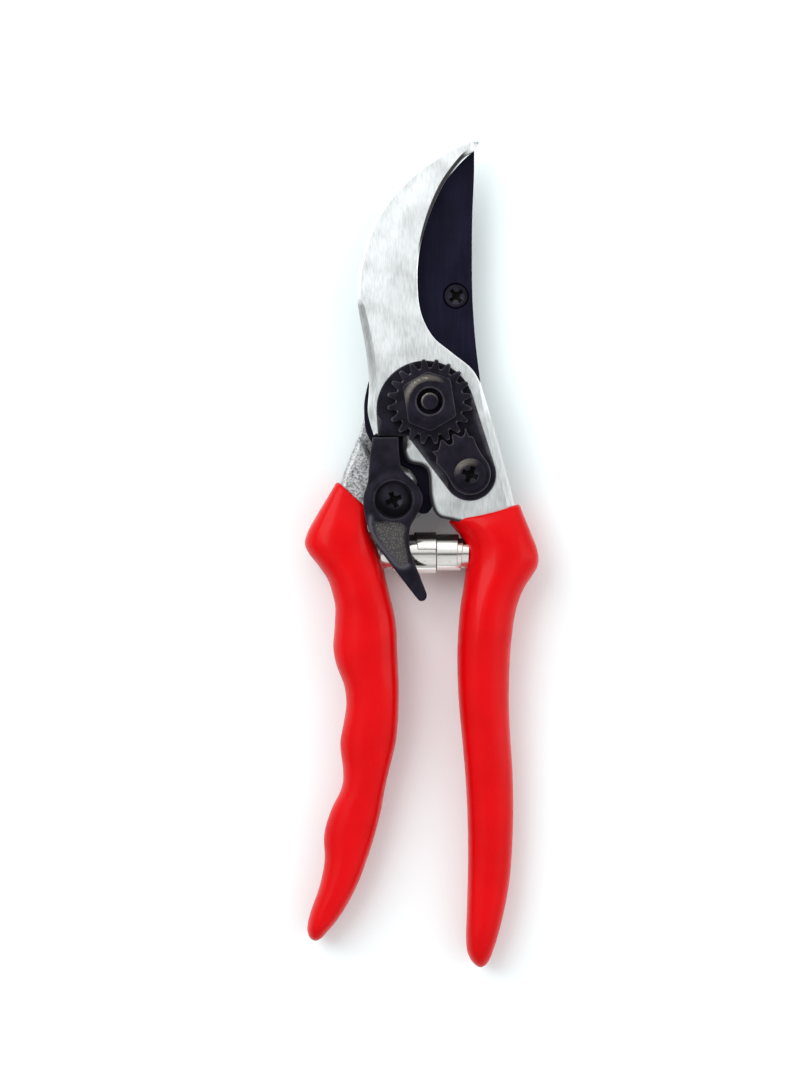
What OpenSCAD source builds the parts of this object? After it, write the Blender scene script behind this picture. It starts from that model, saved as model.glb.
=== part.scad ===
// Bypass pruning shears, closed and latched, lying on their back.
// Origin: on the pivot axis, at the underside of the pivot bolt's head.
// +Y towards the blade's tip, +X towards the hook's grip, +Z out of the table.

/* [Pivot] */
// Radius of the pivot bolt's plain shank
shank_r = 4; // [3.6:0.1:4.2]
// Radius of the bolt's round head
bolt_head_r = 8; // [7:0.5:9]
// Thickness of the bolt's round head
bolt_head_t = 2.6; // [2:0.1:3]
// Radial running clearance round the shank and the catch's sleeve
run_gap = 0.05; // [0.02:0.01:0.08]
// Wall of the bush that lines the carrier and the blade
bush_wall = 1.15; // [0.8:0.05:1.4]

/* [Plates] */
// Thickness of the carrier's flat part under the blade
carrier_t = 3.75; // [3.2:0.05:4.2]
// Thickness of the cutting blade
blade_t = 3; // [2.6:0.1:3.4]
// Width of the bevel ground on the blade's underside
bevel_w = 4.5; // [2:0.5:5]
// Thickness of the hook plate
hook_t = 4.45; // [4:0.05:5]
// Thickness of the backing plate
backing_t = 1.2; // [1:0.1:1.6]
// Depth of the hook plate's pocket for the backing plate
pocket_depth = 0.6; // [0.3:0.1:0.8]

/* [Toothed nut] */
// Number of teeth round the nut
nut_teeth = 20; // [20]
// Radius over the tips of the teeth
nut_tip_r = 10.5; // [10:0.1:10.6]
// Radius at the roots of the teeth
nut_root_r = 8.5; // [8:0.1:8.8]
// Thickness of the toothed flange
nut_flange_t = 2.3; // [2:0.1:2.6]
// Height of the hexagon above the flange
hex_t = 3.6; // [3:0.1:4]

/* [Catch] */
// Thickness of the catch lever
catch_t = 3.2; // [2.6:0.1:3.6]
// Gap between the carrier's boss and the catch lever
catch_lift = 0.4; // [0.3:0.05:0.5]
// Radius of the sleeve that the catch lever turns on
sleeve_r = 3; // [2.8:0.1:3.2]

/* [Grips] */
// Squareness of the grips' sections, where 2 is an ellipse
grip_power = 2.7; // [2.2:0.1:3.2]
// Thickness of the grips at their shoulders
grip_t = 17; // [16.8:0.1:17.4]
// Thickness of the grips near their ends
grip_end_t = 12.6; // [12:0.1:14]

/* [Spring] */
// Radius over the spring's widest coil
spring_r = 5.4; // [5:0.1:5.6]
// Radius of the studs that hold the spring's ends
stud_r = 2.4; // [2:0.1:2.5]

/* [Hidden] */

// Facets round a circle; above 12 the circle stays a true curve
$fn = 48;
// Straight pieces between two points of a smooth outline
steps = 4;
// How far a cutting shape runs past the face it opens
over = 1;

// Levels, from the table up
washer_t = 0.6;
z_washer = bolt_head_t;
z_carrier = z_washer + washer_t + run_gap;
z_blade = z_carrier + carrier_t;
z_blade_top = z_blade + blade_t;
z_hook = z_blade_top + run_gap;
z_hook_top = z_hook + hook_t;
z_backing = z_hook_top - pocket_depth;
z_nut = z_backing + backing_t;
z_hex = z_nut + nut_flange_t;
z_hex_top = z_hex + hex_t;
z_boss = 14.9;
z_catch = z_boss + catch_lift;
z_catch_top = z_catch + catch_t;
z_tang = 4;
z_tang_top = 11.5;
segment_t = 2.1;
z_segment_top = z_nut + segment_t;
head_floor = z_catch_top - 1.4;
z_catch_screw = 8;

// Places of the screws and the spring
blade_screw_at = [6.6, 26.4];
segment_at = [9.9, -17.9];
catch_at = [-8.8, -24.1];
spring_y = -37.3;
spring_z = 8.5;
spring_left_x = -12.6;
spring_right_x = 9.9;

bush_r = shank_r + run_gap + bush_wall;
thread_r = 3;
// Shanks of the segment's and the catch's screws, and of the blade's screw
screw_r = 2;
blade_screw_r = 1.6;
blade_head_r = 3.1;
blade_head_t = 1.6;
end_coil_r = 3.6;
// Radius of the recess in each grip that the spring's end sits in
seat_r = end_coil_r + 0.4;

// Point at parameter t between b and c of a smooth curve through a, b, c, d
function between(a, b, c, d, t) =
    b + t * (c - a) / 2
    + t * t * (2 * a - 5 * b + 4 * c - d) / 2
    + t * t * t * (3 * b - a - 3 * c + d) / 2;

// Smooth open curve through the points p
function curve(p, n = steps) = let (last = len(p) - 1) [
    for (i = [0 : last - 1], k = [0 : n - 1])
        between(p[max(i - 1, 0)], p[i], p[i + 1], p[min(i + 2, last)], k / n),
    p[last]
];

// Smooth closed curve through the points p
function loop(p, n = steps) = let (count = len(p)) [
    for (i = [0 : count - 1], k = [0 : n - 1])
        between(p[(i + count - 1) % count], p[i], p[(i + 1) % count], p[(i + 2) % count], k / n)
];

// Points of an arc about c from angle a0 to a1
function arc(c, r, a0, a1, n) =
    [for (i = [0 : n]) let (a = a0 + (a1 - a0) * i / n) [c.x + r * cos(a), c.y + r * sin(a)]];

// ---- Outlines, seen from above ----

hook_back = curve([
    [10.9, 64.8], [3.8, 61.5], [-5.7, 54.6], [-13.2, 45.2], [-17.2, 33],
    [-17.5, 23.5], [-15.8, 13.5], [-14.9, 4.6], [-15.2, -2.5], [-13.7, -8.2]
]);
hook_notch = curve([
    [-5.7, -8.4], [-5.6, -11.8], [-4.4, -14], [-0.8, -14.9], [0.8, -17.4],
    [1.2, -23.7], [2.7, -27.2], [6.4, -28.2], [10, -29.5], [13, -34]
]);
hook_neck = curve([[21.4, -34], [21, -25.9], [17.7, -13], [15.2, -4], [12.5, 4.8]]);
hook_bite = curve([
    [12.5, 4.8], [10.2, 8.4], [5.2, 12.4], [0.7, 16.3], [-2.2, 22.3], [-3, 30.2],
    [-2.5, 38], [-0.5, 46], [3, 54], [7.4, 59.9], [11.2, 62.6], [12.5, 64.2]
]);
hook_plan = concat(hook_back, hook_notch, hook_neck, hook_bite);

right_tang_plan = loop([
    [12, -30], [12.6, -38], [12.2, -46], [11, -56], [10.8, -68], [11.8, -84],
    [12.8, -98], [13.4, -112], [16.4, -112], [17, -98], [16.4, -84], [15.8, -68],
    [16.6, -56], [18.6, -46], [22.4, -38], [22, -30]
]);
left_tang_plan = loop([
    [-25.5, -31], [-25, -38], [-20.5, -46], [-19.8, -56], [-18.2, -68], [-17.4, -80],
    [-18, -92], [-20.6, -102], [-22.4, -111], [-19.6, -112], [-16.6, -102], [-13.8, -92],
    [-12, -80], [-11.8, -68], [-12.8, -56], [-14, -46], [-15.6, -38], [-15.8, -31]
]);
lower_neck_plan = loop([
    [7, -28], [5.4, -24.5], [7.5, -21.4], [13, -20.6], [18.6, -21], [20.4, -26], [21, -32],
    [17.5, -35], [12.4, -33]
]);

blade_edge = curve([
    [-9, 12.2], [-5, 15.6], [-4.9, 21], [-5.8, 28], [-5.3, 36], [-3.6, 42],
    [-0.6, 48.2], [3.6, 54.4], [7.6, 59.2], [11.1, 62.4]
]);
blade_back = curve([
    [11.1, 62.4], [11, 55.6], [10.6, 46], [10.5, 36.7], [10.6, 27], [11, 19.7],
    [11.6, 13], [12.6, 5], [13.2, -1], [11.5, -7.5], [6.5, -12.3], [2.3, -15.8],
    [1.4, -20], [1.1, -24.6], [-0.4, -27.2], [-2.7, -27.4], [-4.2, -25], [-5.2, -20],
    [-8, -15.5], [-12, -12.4], [-15.3, -8], [-16.1, -3.5], [-15.9, 1.5], [-14, 7.4], [-9, 12.2]
]);
edge_last = len(blade_edge) - 1;
// The ground bevel fades in and out at both ends of the cutting edge
function bevel_at(i) = bevel_w * sqrt(sin(180 * min(1, max(0, i / edge_last))));
function bevelled_edge() = [
    for (i = [0 : edge_last])
        let (
            along = blade_edge[min(i + 1, edge_last)] - blade_edge[max(i - 1, 0)],
            unit = along / norm(along)
        )
        blade_edge[i] + bevel_at(i) * [unit.y, -unit.x]
];

carrier_plan = loop([
    [7, 32.3], [9.5, 29], [9.4, 20], [10.6, 10], [12.6, 2], [11.2, -6.8], [6.3, -11.8],
    [2, -15.3], [0.9, -20], [0.6, -24.3], [-1, -26.9], [-5, -29.4], [-10.5, -31.2],
    [-16.2, -33], [-24, -33], [-22.5, -24.6], [-21.7, -19.1], [-18.6, -11], [-16.7, -5.6],
    [-15.9, -1], [-15.3, 4], [-11.8, 9.4], [-5.8, 14], [0, 20.5], [3.2, 26.6], [4.4, 30.8]
]);
// Full-height part of the carrier: its neck and the boss under the catch
neck_plan = loop([
    [-17.6, -8.1], [-18.6, -11], [-21.7, -19.1], [-22.5, -24.6], [-24, -33], [-16.2, -33],
    [-10.5, -31.2], [-5, -29.4], [-2.8, -26], [-3, -21.4], [-4.9, -18.2], [-9, -17],
    [-13, -14.6], [-15.9, -10.2]
]);

catch_plan = concat(
    [[-14, -8.8], [-7.7, -8.7]],
    curve([
        [-7.5, -13.1], [-6.6, -16.8], [-3.3, -20.2], [-1.7, -23.8], [-3, -27.6],
        [-4.8, -31], [-4.9, -35.6], [-3.6, -39.8], [-0.8, -47.4]
    ]),
    curve([
        [-1.9, -48.7], [-3.6, -47.8], [-8.5, -41.1], [-11.9, -36.7], [-15.3, -30.2],
        [-16.3, -23.9], [-15.2, -19.7], [-14.7, -14]
    ])
);

backing_plan = concat(
    arc([-1, -1.9], 12.1, 17, 186, 24),
    [[-12.7, -8.3], [-6, -8.3], [-4.8, -9.2]],
    arc([9.9, -17.8], 6.5, 213, 377, 18)
);

// ---- Toothed nut and its locking segment ----

tooth_pitch = 360 / nut_teeth;
tooth_turn = 8.4;
// One tooth's share of the rim as fractions of the pitch and of the depth
tooth_form = [[-0.5, 0], [-0.36, 0], [-0.17, 0.8], [-0.1, 1], [0.1, 1], [0.17, 0.8], [0.36, 0]];
function rim_point(a, r) = [r * cos(a), r * sin(a)];
nut_rim = [
    for (i = [0 : nut_teeth - 1], f = tooth_form)
        rim_point(tooth_turn + tooth_pitch * (i + f[0]), nut_root_r + (nut_tip_r - nut_root_r) * f[1])
];

// The hexagon's corners, and the chamfer that leaves a round face on top of it
hex_plan = [[4.96, 5.61], [-0.5, 7.4], [-6.56, 3.84], [-5.3, -5.3], [0.2, -7.4], [6.44, -3.66]];
hex_face_r = 5;
hex_slope = 1.28;

// The segment's teeth stand in three of the nut's gaps
segment_root_r = nut_tip_r + 1.2;
segment_tip_r = nut_tip_r - 0.9;
segment_first = tooth_turn - 4.5 * tooth_pitch;
segment_teeth = 3;
segment_rim = [
    for (i = [0 : segment_teeth - 1], f = tooth_form)
        rim_point(
            segment_first + tooth_pitch * (i + f[0]),
            segment_root_r + (segment_tip_r - segment_root_r) * f[1]
        )
];
segment_plan = concat(
    [[0.4, -12.6]],
    segment_rim,
    [[9.8, -8.2], [11, -9.2], [11.5, -10.4], [12.7, -12.8], [14.3, -15]],
    arc([9.9, -17.8], 5.1, 20, -150, 16),
    [[1.6, -15.4]]
);

// ---- Grips: one row per section, [y, left x, right x, low z, high z, squareness] ----

function grip_high(y) = let (share = min(1, max(0, (-y - 45) / 85)))
    grip_t + (grip_end_t - grip_t) * (3 * share * share - 2 * share * share * share);
function grip_row(y, left, right, low, drop, power = grip_power) =
    [y, left, right, low, grip_high(y) - drop, power];

left_rows = [
    grip_row(-17, -21.2, -14.9, 1.2, 1.4, 5), grip_row(-24, -25, -15.4, 0.4, 0.5, 4.4),
    grip_row(-30, -28.6, -14.8, 0, 0.1, 3.6), grip_row(-34.5, -30.8, -13.2, 0, 0, 3),
    grip_row(-38, -29.5, -11.9, 0, 0), grip_row(-42, -26, -10.7, 0, 0),
    grip_row(-46, -24, -9.9, 0, 0), grip_row(-51, -23.2, -8.9, 0, 0),
    grip_row(-56, -23.5, -8.2, 0, 0), grip_row(-60.5, -23.8, -8, 0, 0),
    grip_row(-65, -23, -7.8, 0, 0), grip_row(-70, -21.1, -7.6, 0, 0),
    grip_row(-74.7, -20.6, -7.6, 0, 0), grip_row(-79, -21.2, -7.8, 0, 0),
    grip_row(-84.5, -22.1, -8.4, 0, 0), grip_row(-91, -21.4, -10, 0, 0),
    grip_row(-95.5, -21.8, -11, 0, 0), grip_row(-101, -24.4, -12, 0, 0),
    grip_row(-107, -26.1, -13.5, 0, 0), grip_row(-113.5, -26, -15.6, 0, 0),
    grip_row(-120, -27.3, -18.1, 0, 0), grip_row(-126, -29.4, -21, 0.2, 0.2),
    grip_row(-130, -30.2, -23.5, 0.9, 0.9), grip_row(-132.4, -29.9, -25.6, 2.2, 2.2),
    grip_row(-133.4, -28.9, -27.2, 4.4, 4.4)
];
right_rows = [
    grip_row(-22, 5.8, 20.6, 1, 1.2, 5), grip_row(-26.5, 6.2, 22.3, 0.3, 0.5, 4.6),
    grip_row(-30.5, 7, 24.1, 0, 0.1, 3.8), grip_row(-34.5, 8.9, 25.9, 0, 0, 3.1),
    grip_row(-39, 9.2, 27, 0, 0), grip_row(-42.5, 8.8, 25.6, 0, 0),
    grip_row(-46.3, 8.2, 23.2, 0, 0), grip_row(-51, 7.6, 21.5, 0, 0),
    grip_row(-57, 7.1, 20.5, 0, 0), grip_row(-64, 6.9, 19.9, 0, 0),
    grip_row(-73, 7.2, 19.7, 0, 0), grip_row(-82, 8, 20, 0, 0),
    grip_row(-91, 8.8, 20.6, 0, 0), grip_row(-101, 9.4, 20.8, 0, 0),
    grip_row(-111, 9.6, 20.5, 0, 0), grip_row(-119, 9.5, 19.8, 0, 0),
    grip_row(-126, 9.3, 18.5, 0, 0), grip_row(-132, 9.1, 17, 0.3, 0.3),
    grip_row(-136, 9.4, 15.8, 1.1, 1.1), grip_row(-138.8, 10.4, 14.6, 2.6, 2.6),
    grip_row(-140, 12, 13.3, 4.6, 4.6)
];

ring_points = 20;
ring_steps = 2;
function signed_power(v, p) = sign(v) * pow(abs(v), p);
// One rounded section as a ring of points
function grip_ring(row) = [
    for (i = [0 : ring_points - 1])
        let (a = 360 * (i + 0.5) / ring_points)
        [
            (row[1] + row[2]) / 2 + (row[2] - row[1]) / 2 * signed_power(cos(a), 2 / row[5]),
            row[0],
            (row[3] + row[4]) / 2 + (row[4] - row[3]) / 2 * signed_power(sin(a), 2 / row[5])
        ]
];

// Solid through the sections, closed by a flat at each end
module grip_loft(rows) {
    sections = curve(rows, ring_steps);
    ends = len(sections) - 1;
    points = [for (row = sections) each grip_ring(row)];
    sides = [
        for (s = [0 : ends - 1], i = [0 : ring_points - 1])
            let (
                j = (i + 1) % ring_points,
                a = s * ring_points + i,
                b = s * ring_points + j,
                c = b + ring_points,
                d = a + ring_points
            )
            each [[a, b, c], [a, c, d]]
    ];
    first = [for (i = [ring_points - 1 : -1 : 0]) i];
    last = [for (i = [0 : ring_points - 1]) ends * ring_points + i];
    polyhedron(points, concat(sides, [first, last]));
}

// Everything on the far side of a line through a and b, left of its direction
module beyond(a, b) {
    reach = 60;
    turn = atan2(b.y - a.y, b.x - a.x);
    translate([a.x, a.y, -over]) rotate([0, 0, turn]) translate([-reach, 0, 0])
        cube([2 * reach, reach, grip_t + 2 * over]);
}

// ---- Small shapes ----

module plate(plan, z0, z1) {
    translate([0, 0, z0]) linear_extrude(z1 - z0) polygon(plan);
}

module bore(r, z0, z1) {
    translate([0, 0, z0]) cylinder(r = r, h = z1 - z0);
}

// Its children moved to a place seen from above, raised by z
module at(place, z = 0) {
    translate([place.x, place.y, z]) children();
}

module ring(inner, outer, z0, z1) {
    difference() {
        bore(outer, z0, z1);
        bore(inner, z0 - over, z1 + over);
    }
}

// Cross recess cut down from z, with its wings turned by turn
module cross_recess(z, size, depth, turn) {
    wing = size * 0.3;
    core_low = wing * 0.6;
    core_high = wing * 1.15;
    for (a = [turn, turn + 90]) {
        rotate([0, 0, a]) translate([-size, -wing / 2, z - depth]) cube([2 * size, wing, depth + over]);
    }
    translate([0, 0, z - depth]) cylinder(r1 = core_low, r2 = core_high, h = depth + over);
}

// Domed screw head on a shank, with its seat at z = 0
module pan_screw(head_r, head_h, length, turn) {
    rim_h = 0.4;
    dome_r = (head_r * head_r + head_h * head_h) / (2 * head_h) + rim_h * 2.25;
    recess_reach = head_r * 0.5;
    recess_depth = head_h * 0.7;
    difference() {
        union() {
            intersection() {
                cylinder(r = head_r, h = head_h);
                translate([0, 0, head_h - dome_r]) sphere(r = dome_r);
            }
            translate([0, 0, -length]) cylinder(r = screw_r, h = length + over / 2);
        }
        cross_recess(head_h, recess_reach, recess_depth, turn);
    }
}

// Round bar or bore along the spring's axis
module along_spring(r, x0, x1) {
    translate([x0, spring_y, spring_z]) rotate([0, 90, 0]) cylinder(r = r, h = x1 - x0);
}

// ---- Hook side ----

module right_stud_shape() {
    along_spring(stud_r, 6, 15);
}

module hook_core() {
    plate(hook_plan, z_hook, z_hook_top);
    plate(lower_neck_plan, z_tang + over, z_hook + over);
    plate(right_tang_plan, z_tang, z_tang_top);
}

module hook_arm() {
    color("silver") difference() {
        hook_core();
        bore(shank_r, z_hook - over, z_hook_top + over);
        plate(backing_plan, z_backing, z_hook_top + over);
        at(segment_at) bore(screw_r, z_hook + over, z_hook_top);
        right_stud_shape();
    }
}

module right_grip() {
    color("crimson") difference() {
        grip_loft(right_rows);
        intersection() {
            beyond([10.4, -29.7], [22.4, -25.9]);
            beyond([5, -29.9], [10.4, -29.7]);
        }
        hook_core();
        right_stud_shape();
        along_spring(seat_r, spring_right_x - 5, spring_right_x + 0.2);
    }
}

module backing_plate() {
    color("dimgray") difference() {
        plate(backing_plan, z_backing, z_nut);
        bore(thread_r, z_backing - over, z_nut + over);
        at(segment_at) bore(screw_r, z_backing - over, z_nut + over);
    }
}

module toothed_nut() {
    recess_r = 3.2;
    recess_depth = 1.4;
    color("darkslategray") difference() {
        union() {
            plate(nut_rim, z_nut, z_hex);
            intersection() {
                plate(hex_plan, z_hex, z_hex_top);
                translate([0, 0, z_hex])
                    cylinder(r1 = hex_face_r + hex_t * hex_slope, r2 = hex_face_r, h = hex_t);
            }
        }
        bore(thread_r, z_nut - over, z_hex_top + over);
        bore(recess_r, z_hex_top - recess_depth, z_hex_top + over);
    }
}

module lock_segment() {
    color("darkslategray") difference() {
        plate(segment_plan, z_nut, z_segment_top);
        at(segment_at) bore(screw_r, z_nut - over, z_segment_top + over);
    }
}

module segment_screw() {
    color("black") at(segment_at, z_segment_top)
        pan_screw(4, 2.2, z_segment_top - z_hook - over, -23);
}

module pivot_bolt() {
    tip_r = 2.1;
    tip_h = 0.9;
    tip_dome_r = 5;
    chamfer = 0.5;
    thread_top = z_hex_top - 1.2;
    color("dimgray") union() {
        cylinder(r1 = bolt_head_r - chamfer, r2 = bolt_head_r, h = chamfer);
        bore(bolt_head_r, chamfer, bolt_head_t);
        bore(shank_r, bolt_head_t, z_backing);
        bore(thread_r, z_backing, thread_top);
        translate([0, 0, thread_top]) intersection() {
            cylinder(r = tip_r, h = tip_h);
            translate([0, 0, tip_h - tip_dome_r]) sphere(r = tip_dome_r);
        }
    }
}

module thrust_washer() {
    color("goldenrod") ring(shank_r, bolt_head_r - 0.4, z_washer, z_washer + washer_t);
}

module right_spring_stud() {
    color("gray") right_stud_shape();
}

// ---- Blade side ----

module left_stud_shape() {
    along_spring(stud_r, -18, -8.2);
}

module blade_body() {
    top = concat(blade_edge, blade_back);
    bottom = concat(bevelled_edge(), blade_back);
    count = len(top);
    points = concat(
        [for (p = bottom) [p.x, p.y, z_blade]],
        [for (p = top) [p.x, p.y, z_blade_top]]
    );
    sides = [
        for (i = [0 : count - 1])
            let (j = (i + 1) % count)
            each [[i, i + count, j + count], [i, j + count, j]]
    ];
    low = [for (i = [0 : count - 1]) i];
    high = [for (i = [count - 1 : -1 : 0]) i + count];
    polyhedron(points, concat(sides, [low, high]));
}

module carrier_core() {
    // The neck starts outside the hook plate's round part
    neck_clear_r = 16.2;
    plate(carrier_plan, z_carrier, z_blade);
    difference() {
        plate(neck_plan, z_blade - over, z_boss);
        plate(concat(blade_edge, blade_back), z_blade, z_boss + over);
        bore(neck_clear_r, z_blade, z_boss + over);
    }
    plate(left_tang_plan, z_tang, z_tang_top);
}

module carrier_arm() {
    color("darkgray") difference() {
        carrier_core();
        bore(bush_r, z_carrier - over, z_blade + over);
        at(blade_screw_at) bore(blade_screw_r, z_carrier - over, z_blade + over);
        at(catch_at) bore(screw_r, z_catch_screw, z_boss + over);
        left_stud_shape();
    }
}

module cutting_blade() {
    color("midnightblue") difference() {
        blade_body();
        bore(bush_r, z_blade - over, z_blade_top + over);
        at(blade_screw_at) bore(blade_screw_r, z_blade - over, z_blade_top + over);
        at(blade_screw_at, z_blade_top) countersunk();
    }
}

// Cone of the blade screw's head, with its top at z = 0
module countersunk() {
    translate([0, 0, -blade_head_t]) cylinder(r1 = blade_screw_r, r2 = blade_head_r, h = blade_head_t);
}

module blade_screw() {
    length = z_blade_top - z_carrier - 0.3;
    recess_depth = 1.1;
    color("black") at(blade_screw_at, z_blade_top) difference() {
        union() {
            countersunk();
            translate([0, 0, -length]) cylinder(r = blade_screw_r, h = length - blade_head_t);
        }
        cross_recess(0, 2, recess_depth, 40);
    }
}

module pivot_bush() {
    color("peru") ring(shank_r + run_gap, bush_r, z_carrier, z_blade_top);
}

module left_grip() {
    color("crimson") difference() {
        grip_loft(left_rows);
        beyond([-22.8, -20.1], [-14, -28.4]);
        carrier_core();
        left_stud_shape();
        along_spring(seat_r, spring_left_x - 0.2, spring_left_x + 5);
    }
}

module left_spring_stud() {
    color("gray") left_stud_shape();
}

// ---- Catch ----

module catch_lever() {
    seat_bore_r = 4.6;
    color("darkslategray") difference() {
        plate(catch_plan, z_catch, z_catch_top);
        at(catch_at) {
            bore(sleeve_r + run_gap, z_catch - over, z_catch_top + over);
            bore(seat_bore_r, head_floor, z_catch_top + over);
        }
        // The thumb tab slopes down to a thin tip
        translate([-3, -39.5, z_catch_top]) rotate([9, 0, 20]) translate([-12, -20, 0]) cube([24, 20, 6]);
    }
}

module catch_screw() {
    color("black") at(catch_at, head_floor + run_gap)
        pan_screw(4.2, 2, head_floor + run_gap - z_catch_screw, 22);
}

module catch_sleeve() {
    color("peru") at(catch_at) ring(screw_r, sleeve_r, z_boss, head_floor + run_gap);
}

module catch_washer() {
    washer_r = 5.6;
    color("silver") at(catch_at) ring(sleeve_r, washer_r, z_boss, z_catch - run_gap);
}

// ---- Spring between the grips: its outer shape, open along its axis ----

// Outer radius of each coil, as [x where it begins, radius]
coils = [
    [spring_left_x, end_coil_r], [-8.4, 4.2], [-5.6, 4.9], [-3.1, spring_r],
    [1.7, spring_r - 0.2], [6.9, 4.3], [7.7, end_coil_r]
];
module volute_spring() {
    inner = stud_r + 0.5;
    rims = [
        for (i = [0 : len(coils) - 1])
            let (x1 = i < len(coils) - 1 ? coils[i + 1][0] : spring_right_x)
            each [[coils[i][1], coils[i][0]], [coils[i][1], x1]]
    ];
    color("gainsboro") translate([0, spring_y, spring_z]) rotate([0, 90, 0])
        rotate_extrude() polygon(concat([[inner, spring_left_x]], rims, [[inner, spring_right_x]]));
}

hook_arm();
right_grip();
backing_plate();
toothed_nut();
lock_segment();
segment_screw();
pivot_bolt();
thrust_washer();
right_spring_stud();
carrier_arm();
cutting_blade();
blade_screw();
pivot_bush();
left_grip();
left_spring_stud();
catch_screw();
catch_sleeve();
catch_washer();
catch_lever();
volute_spring();
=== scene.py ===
"""Bypass pruning shears, closed and latched, lying on their back on a pale floor.

The visible pieces are worked out here in millimetres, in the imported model's frame: the pivot axis
is the Z axis, +Y runs to the blade's tip, and the floor is at zero height.
"""

import math

import bpy
import numpy as np
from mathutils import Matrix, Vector
from mathutils.geometry import delaunay_2d_cdt


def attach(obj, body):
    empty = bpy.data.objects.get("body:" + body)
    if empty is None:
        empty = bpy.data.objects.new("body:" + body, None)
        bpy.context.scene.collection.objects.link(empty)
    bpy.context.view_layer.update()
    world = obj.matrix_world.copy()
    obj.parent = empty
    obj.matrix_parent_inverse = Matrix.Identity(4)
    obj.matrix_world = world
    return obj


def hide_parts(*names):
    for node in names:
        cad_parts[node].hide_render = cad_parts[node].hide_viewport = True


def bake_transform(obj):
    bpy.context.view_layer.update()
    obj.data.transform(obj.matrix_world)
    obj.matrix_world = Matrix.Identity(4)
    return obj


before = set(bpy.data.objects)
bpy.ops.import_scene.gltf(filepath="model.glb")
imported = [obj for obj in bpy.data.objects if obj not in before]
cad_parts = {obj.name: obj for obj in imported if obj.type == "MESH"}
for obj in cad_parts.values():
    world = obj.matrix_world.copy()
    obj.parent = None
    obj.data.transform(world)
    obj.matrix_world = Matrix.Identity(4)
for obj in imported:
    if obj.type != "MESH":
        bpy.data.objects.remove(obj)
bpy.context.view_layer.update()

bl_info = {
    "name": "Pruning Shears",
    "version": (1, 0, 0),
    "blender": (4, 5, 0),
    "location": "3D View > Sidebar > Shears",
    "description": "Builds the visible pieces of a pair of bypass pruning shears round their packed frame",
    "category": "Object",
}

MM = 0.001
# Levels of the faces, from the floor up, and the radius of the seat in the catch
CARRIER_LOW, CARRIER_TOP = 3.25, 7.0
BLADE_TOP = 10.0
HOOK_LOW, HOOK_TOP, ROOT_LOW = 10.05, 14.5, 5.0
BACKING_LOW, BACKING_TOP = 13.9, 15.1
NUT_FLANGE_TOP, NUT_TOP = 17.4, 21.0
SEGMENT_TOP = 17.2
NECK_LOW, BOSS_TOP = 6.0, 14.9
CATCH_LOW, CATCH_TOP = 15.3, 18.5
HEAD_FLOOR, SEAT_R = 17.1, 4.62
# Places of the screws, and the spring's axis
BLADE_SCREW = (6.6, 26.4)
SEGMENT_SCREW = (9.9, -17.9)
CATCH_SCREW = (-8.8, -24.1)
SPRING_Y, SPRING_Z = -37.3, 8.5
TOOTH_TURN = math.radians(8.4)
TEETH = 20
NUT_ROOT_R, NUT_TIP_R = 8.5, 10.5


# ---- Settings a user would change ----

class ShearsFinish(bpy.types.PropertyGroup):
    vinyl: bpy.props.FloatVectorProperty(
        name="Vinyl", description="Colour of the dipped grips", subtype="COLOR",
        size=3, min=0, max=1, default=(0.60, 0.0010, 0.0028))
    vinyl_gloss: bpy.props.FloatProperty(
        name="Vinyl gloss", description="How glossy the grips are, where 1 is a mirror",
        subtype="FACTOR", min=0, max=1, default=0.74)
    steel: bpy.props.FloatVectorProperty(
        name="Ground steel", description="Colour of the hook plate", subtype="COLOR",
        size=3, min=0, max=1, default=(0.78, 0.82, 0.83))
    oxide: bpy.props.FloatVectorProperty(
        name="Black oxide", description="Colour of the nut, segment, catch and screws",
        subtype="COLOR", size=3, min=0, max=1, default=(0.0085, 0.0072, 0.0130))
    coating: bpy.props.FloatVectorProperty(
        name="Blade coating", description="Colour of the cutting blade's coating",
        subtype="COLOR", size=3, min=0, max=1, default=(0.0058, 0.0052, 0.0150))
    cast: bpy.props.FloatVectorProperty(
        name="Casting", description="Colour of the rough carrier arm", subtype="COLOR",
        size=3, min=0, max=1, default=(0.36, 0.37, 0.38))


class ShearsSizes(bpy.types.PropertyGroup):
    grind: bpy.props.FloatProperty(
        name="Grinding lines", description="Depth of the lines left by grinding, in micrometres",
        min=0, max=60, default=9)
    pebble: bpy.props.FloatProperty(
        name="Pebbled pad", description="Height of the grain on the thumb pad, in micrometres",
        min=0, max=200, default=90)
    lip: bpy.props.FloatProperty(
        name="Lip", description="Radius of the rounded lip at the mouth of each grip, in millimetres",
        min=0.2, max=1.5, default=0.8)
    tooth_round: bpy.props.FloatProperty(
        name="Tooth edges", description="Radius of the edges of the nut's teeth, in millimetres",
        min=0.05, max=0.4, default=0.2)


class ShearsStage(bpy.types.PropertyGroup):
    lens: bpy.props.FloatProperty(
        name="Lens", description="Focal length of the camera", unit="CAMERA",
        min=50, max=300, default=135)
    distance: bpy.props.FloatProperty(
        name="Distance", description="From the camera down to the plates, in metres",
        unit="LENGTH", min=0.3, max=3, default=0.9883)
    key: bpy.props.FloatProperty(
        name="Key light", description="Power of the large lamp at the upper left, in watts",
        unit="POWER", min=0, max=200, default=7)
    fill: bpy.props.FloatProperty(
        name="Fill light", description="Power of the long lamp at the right, in watts",
        unit="POWER", min=0, max=200, default=1.6)
    sky: bpy.props.FloatProperty(
        name="Surroundings", description="Brightness of the plain surroundings",
        min=0, max=2, default=0.86)


# ---- Lines and outlines ----

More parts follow.
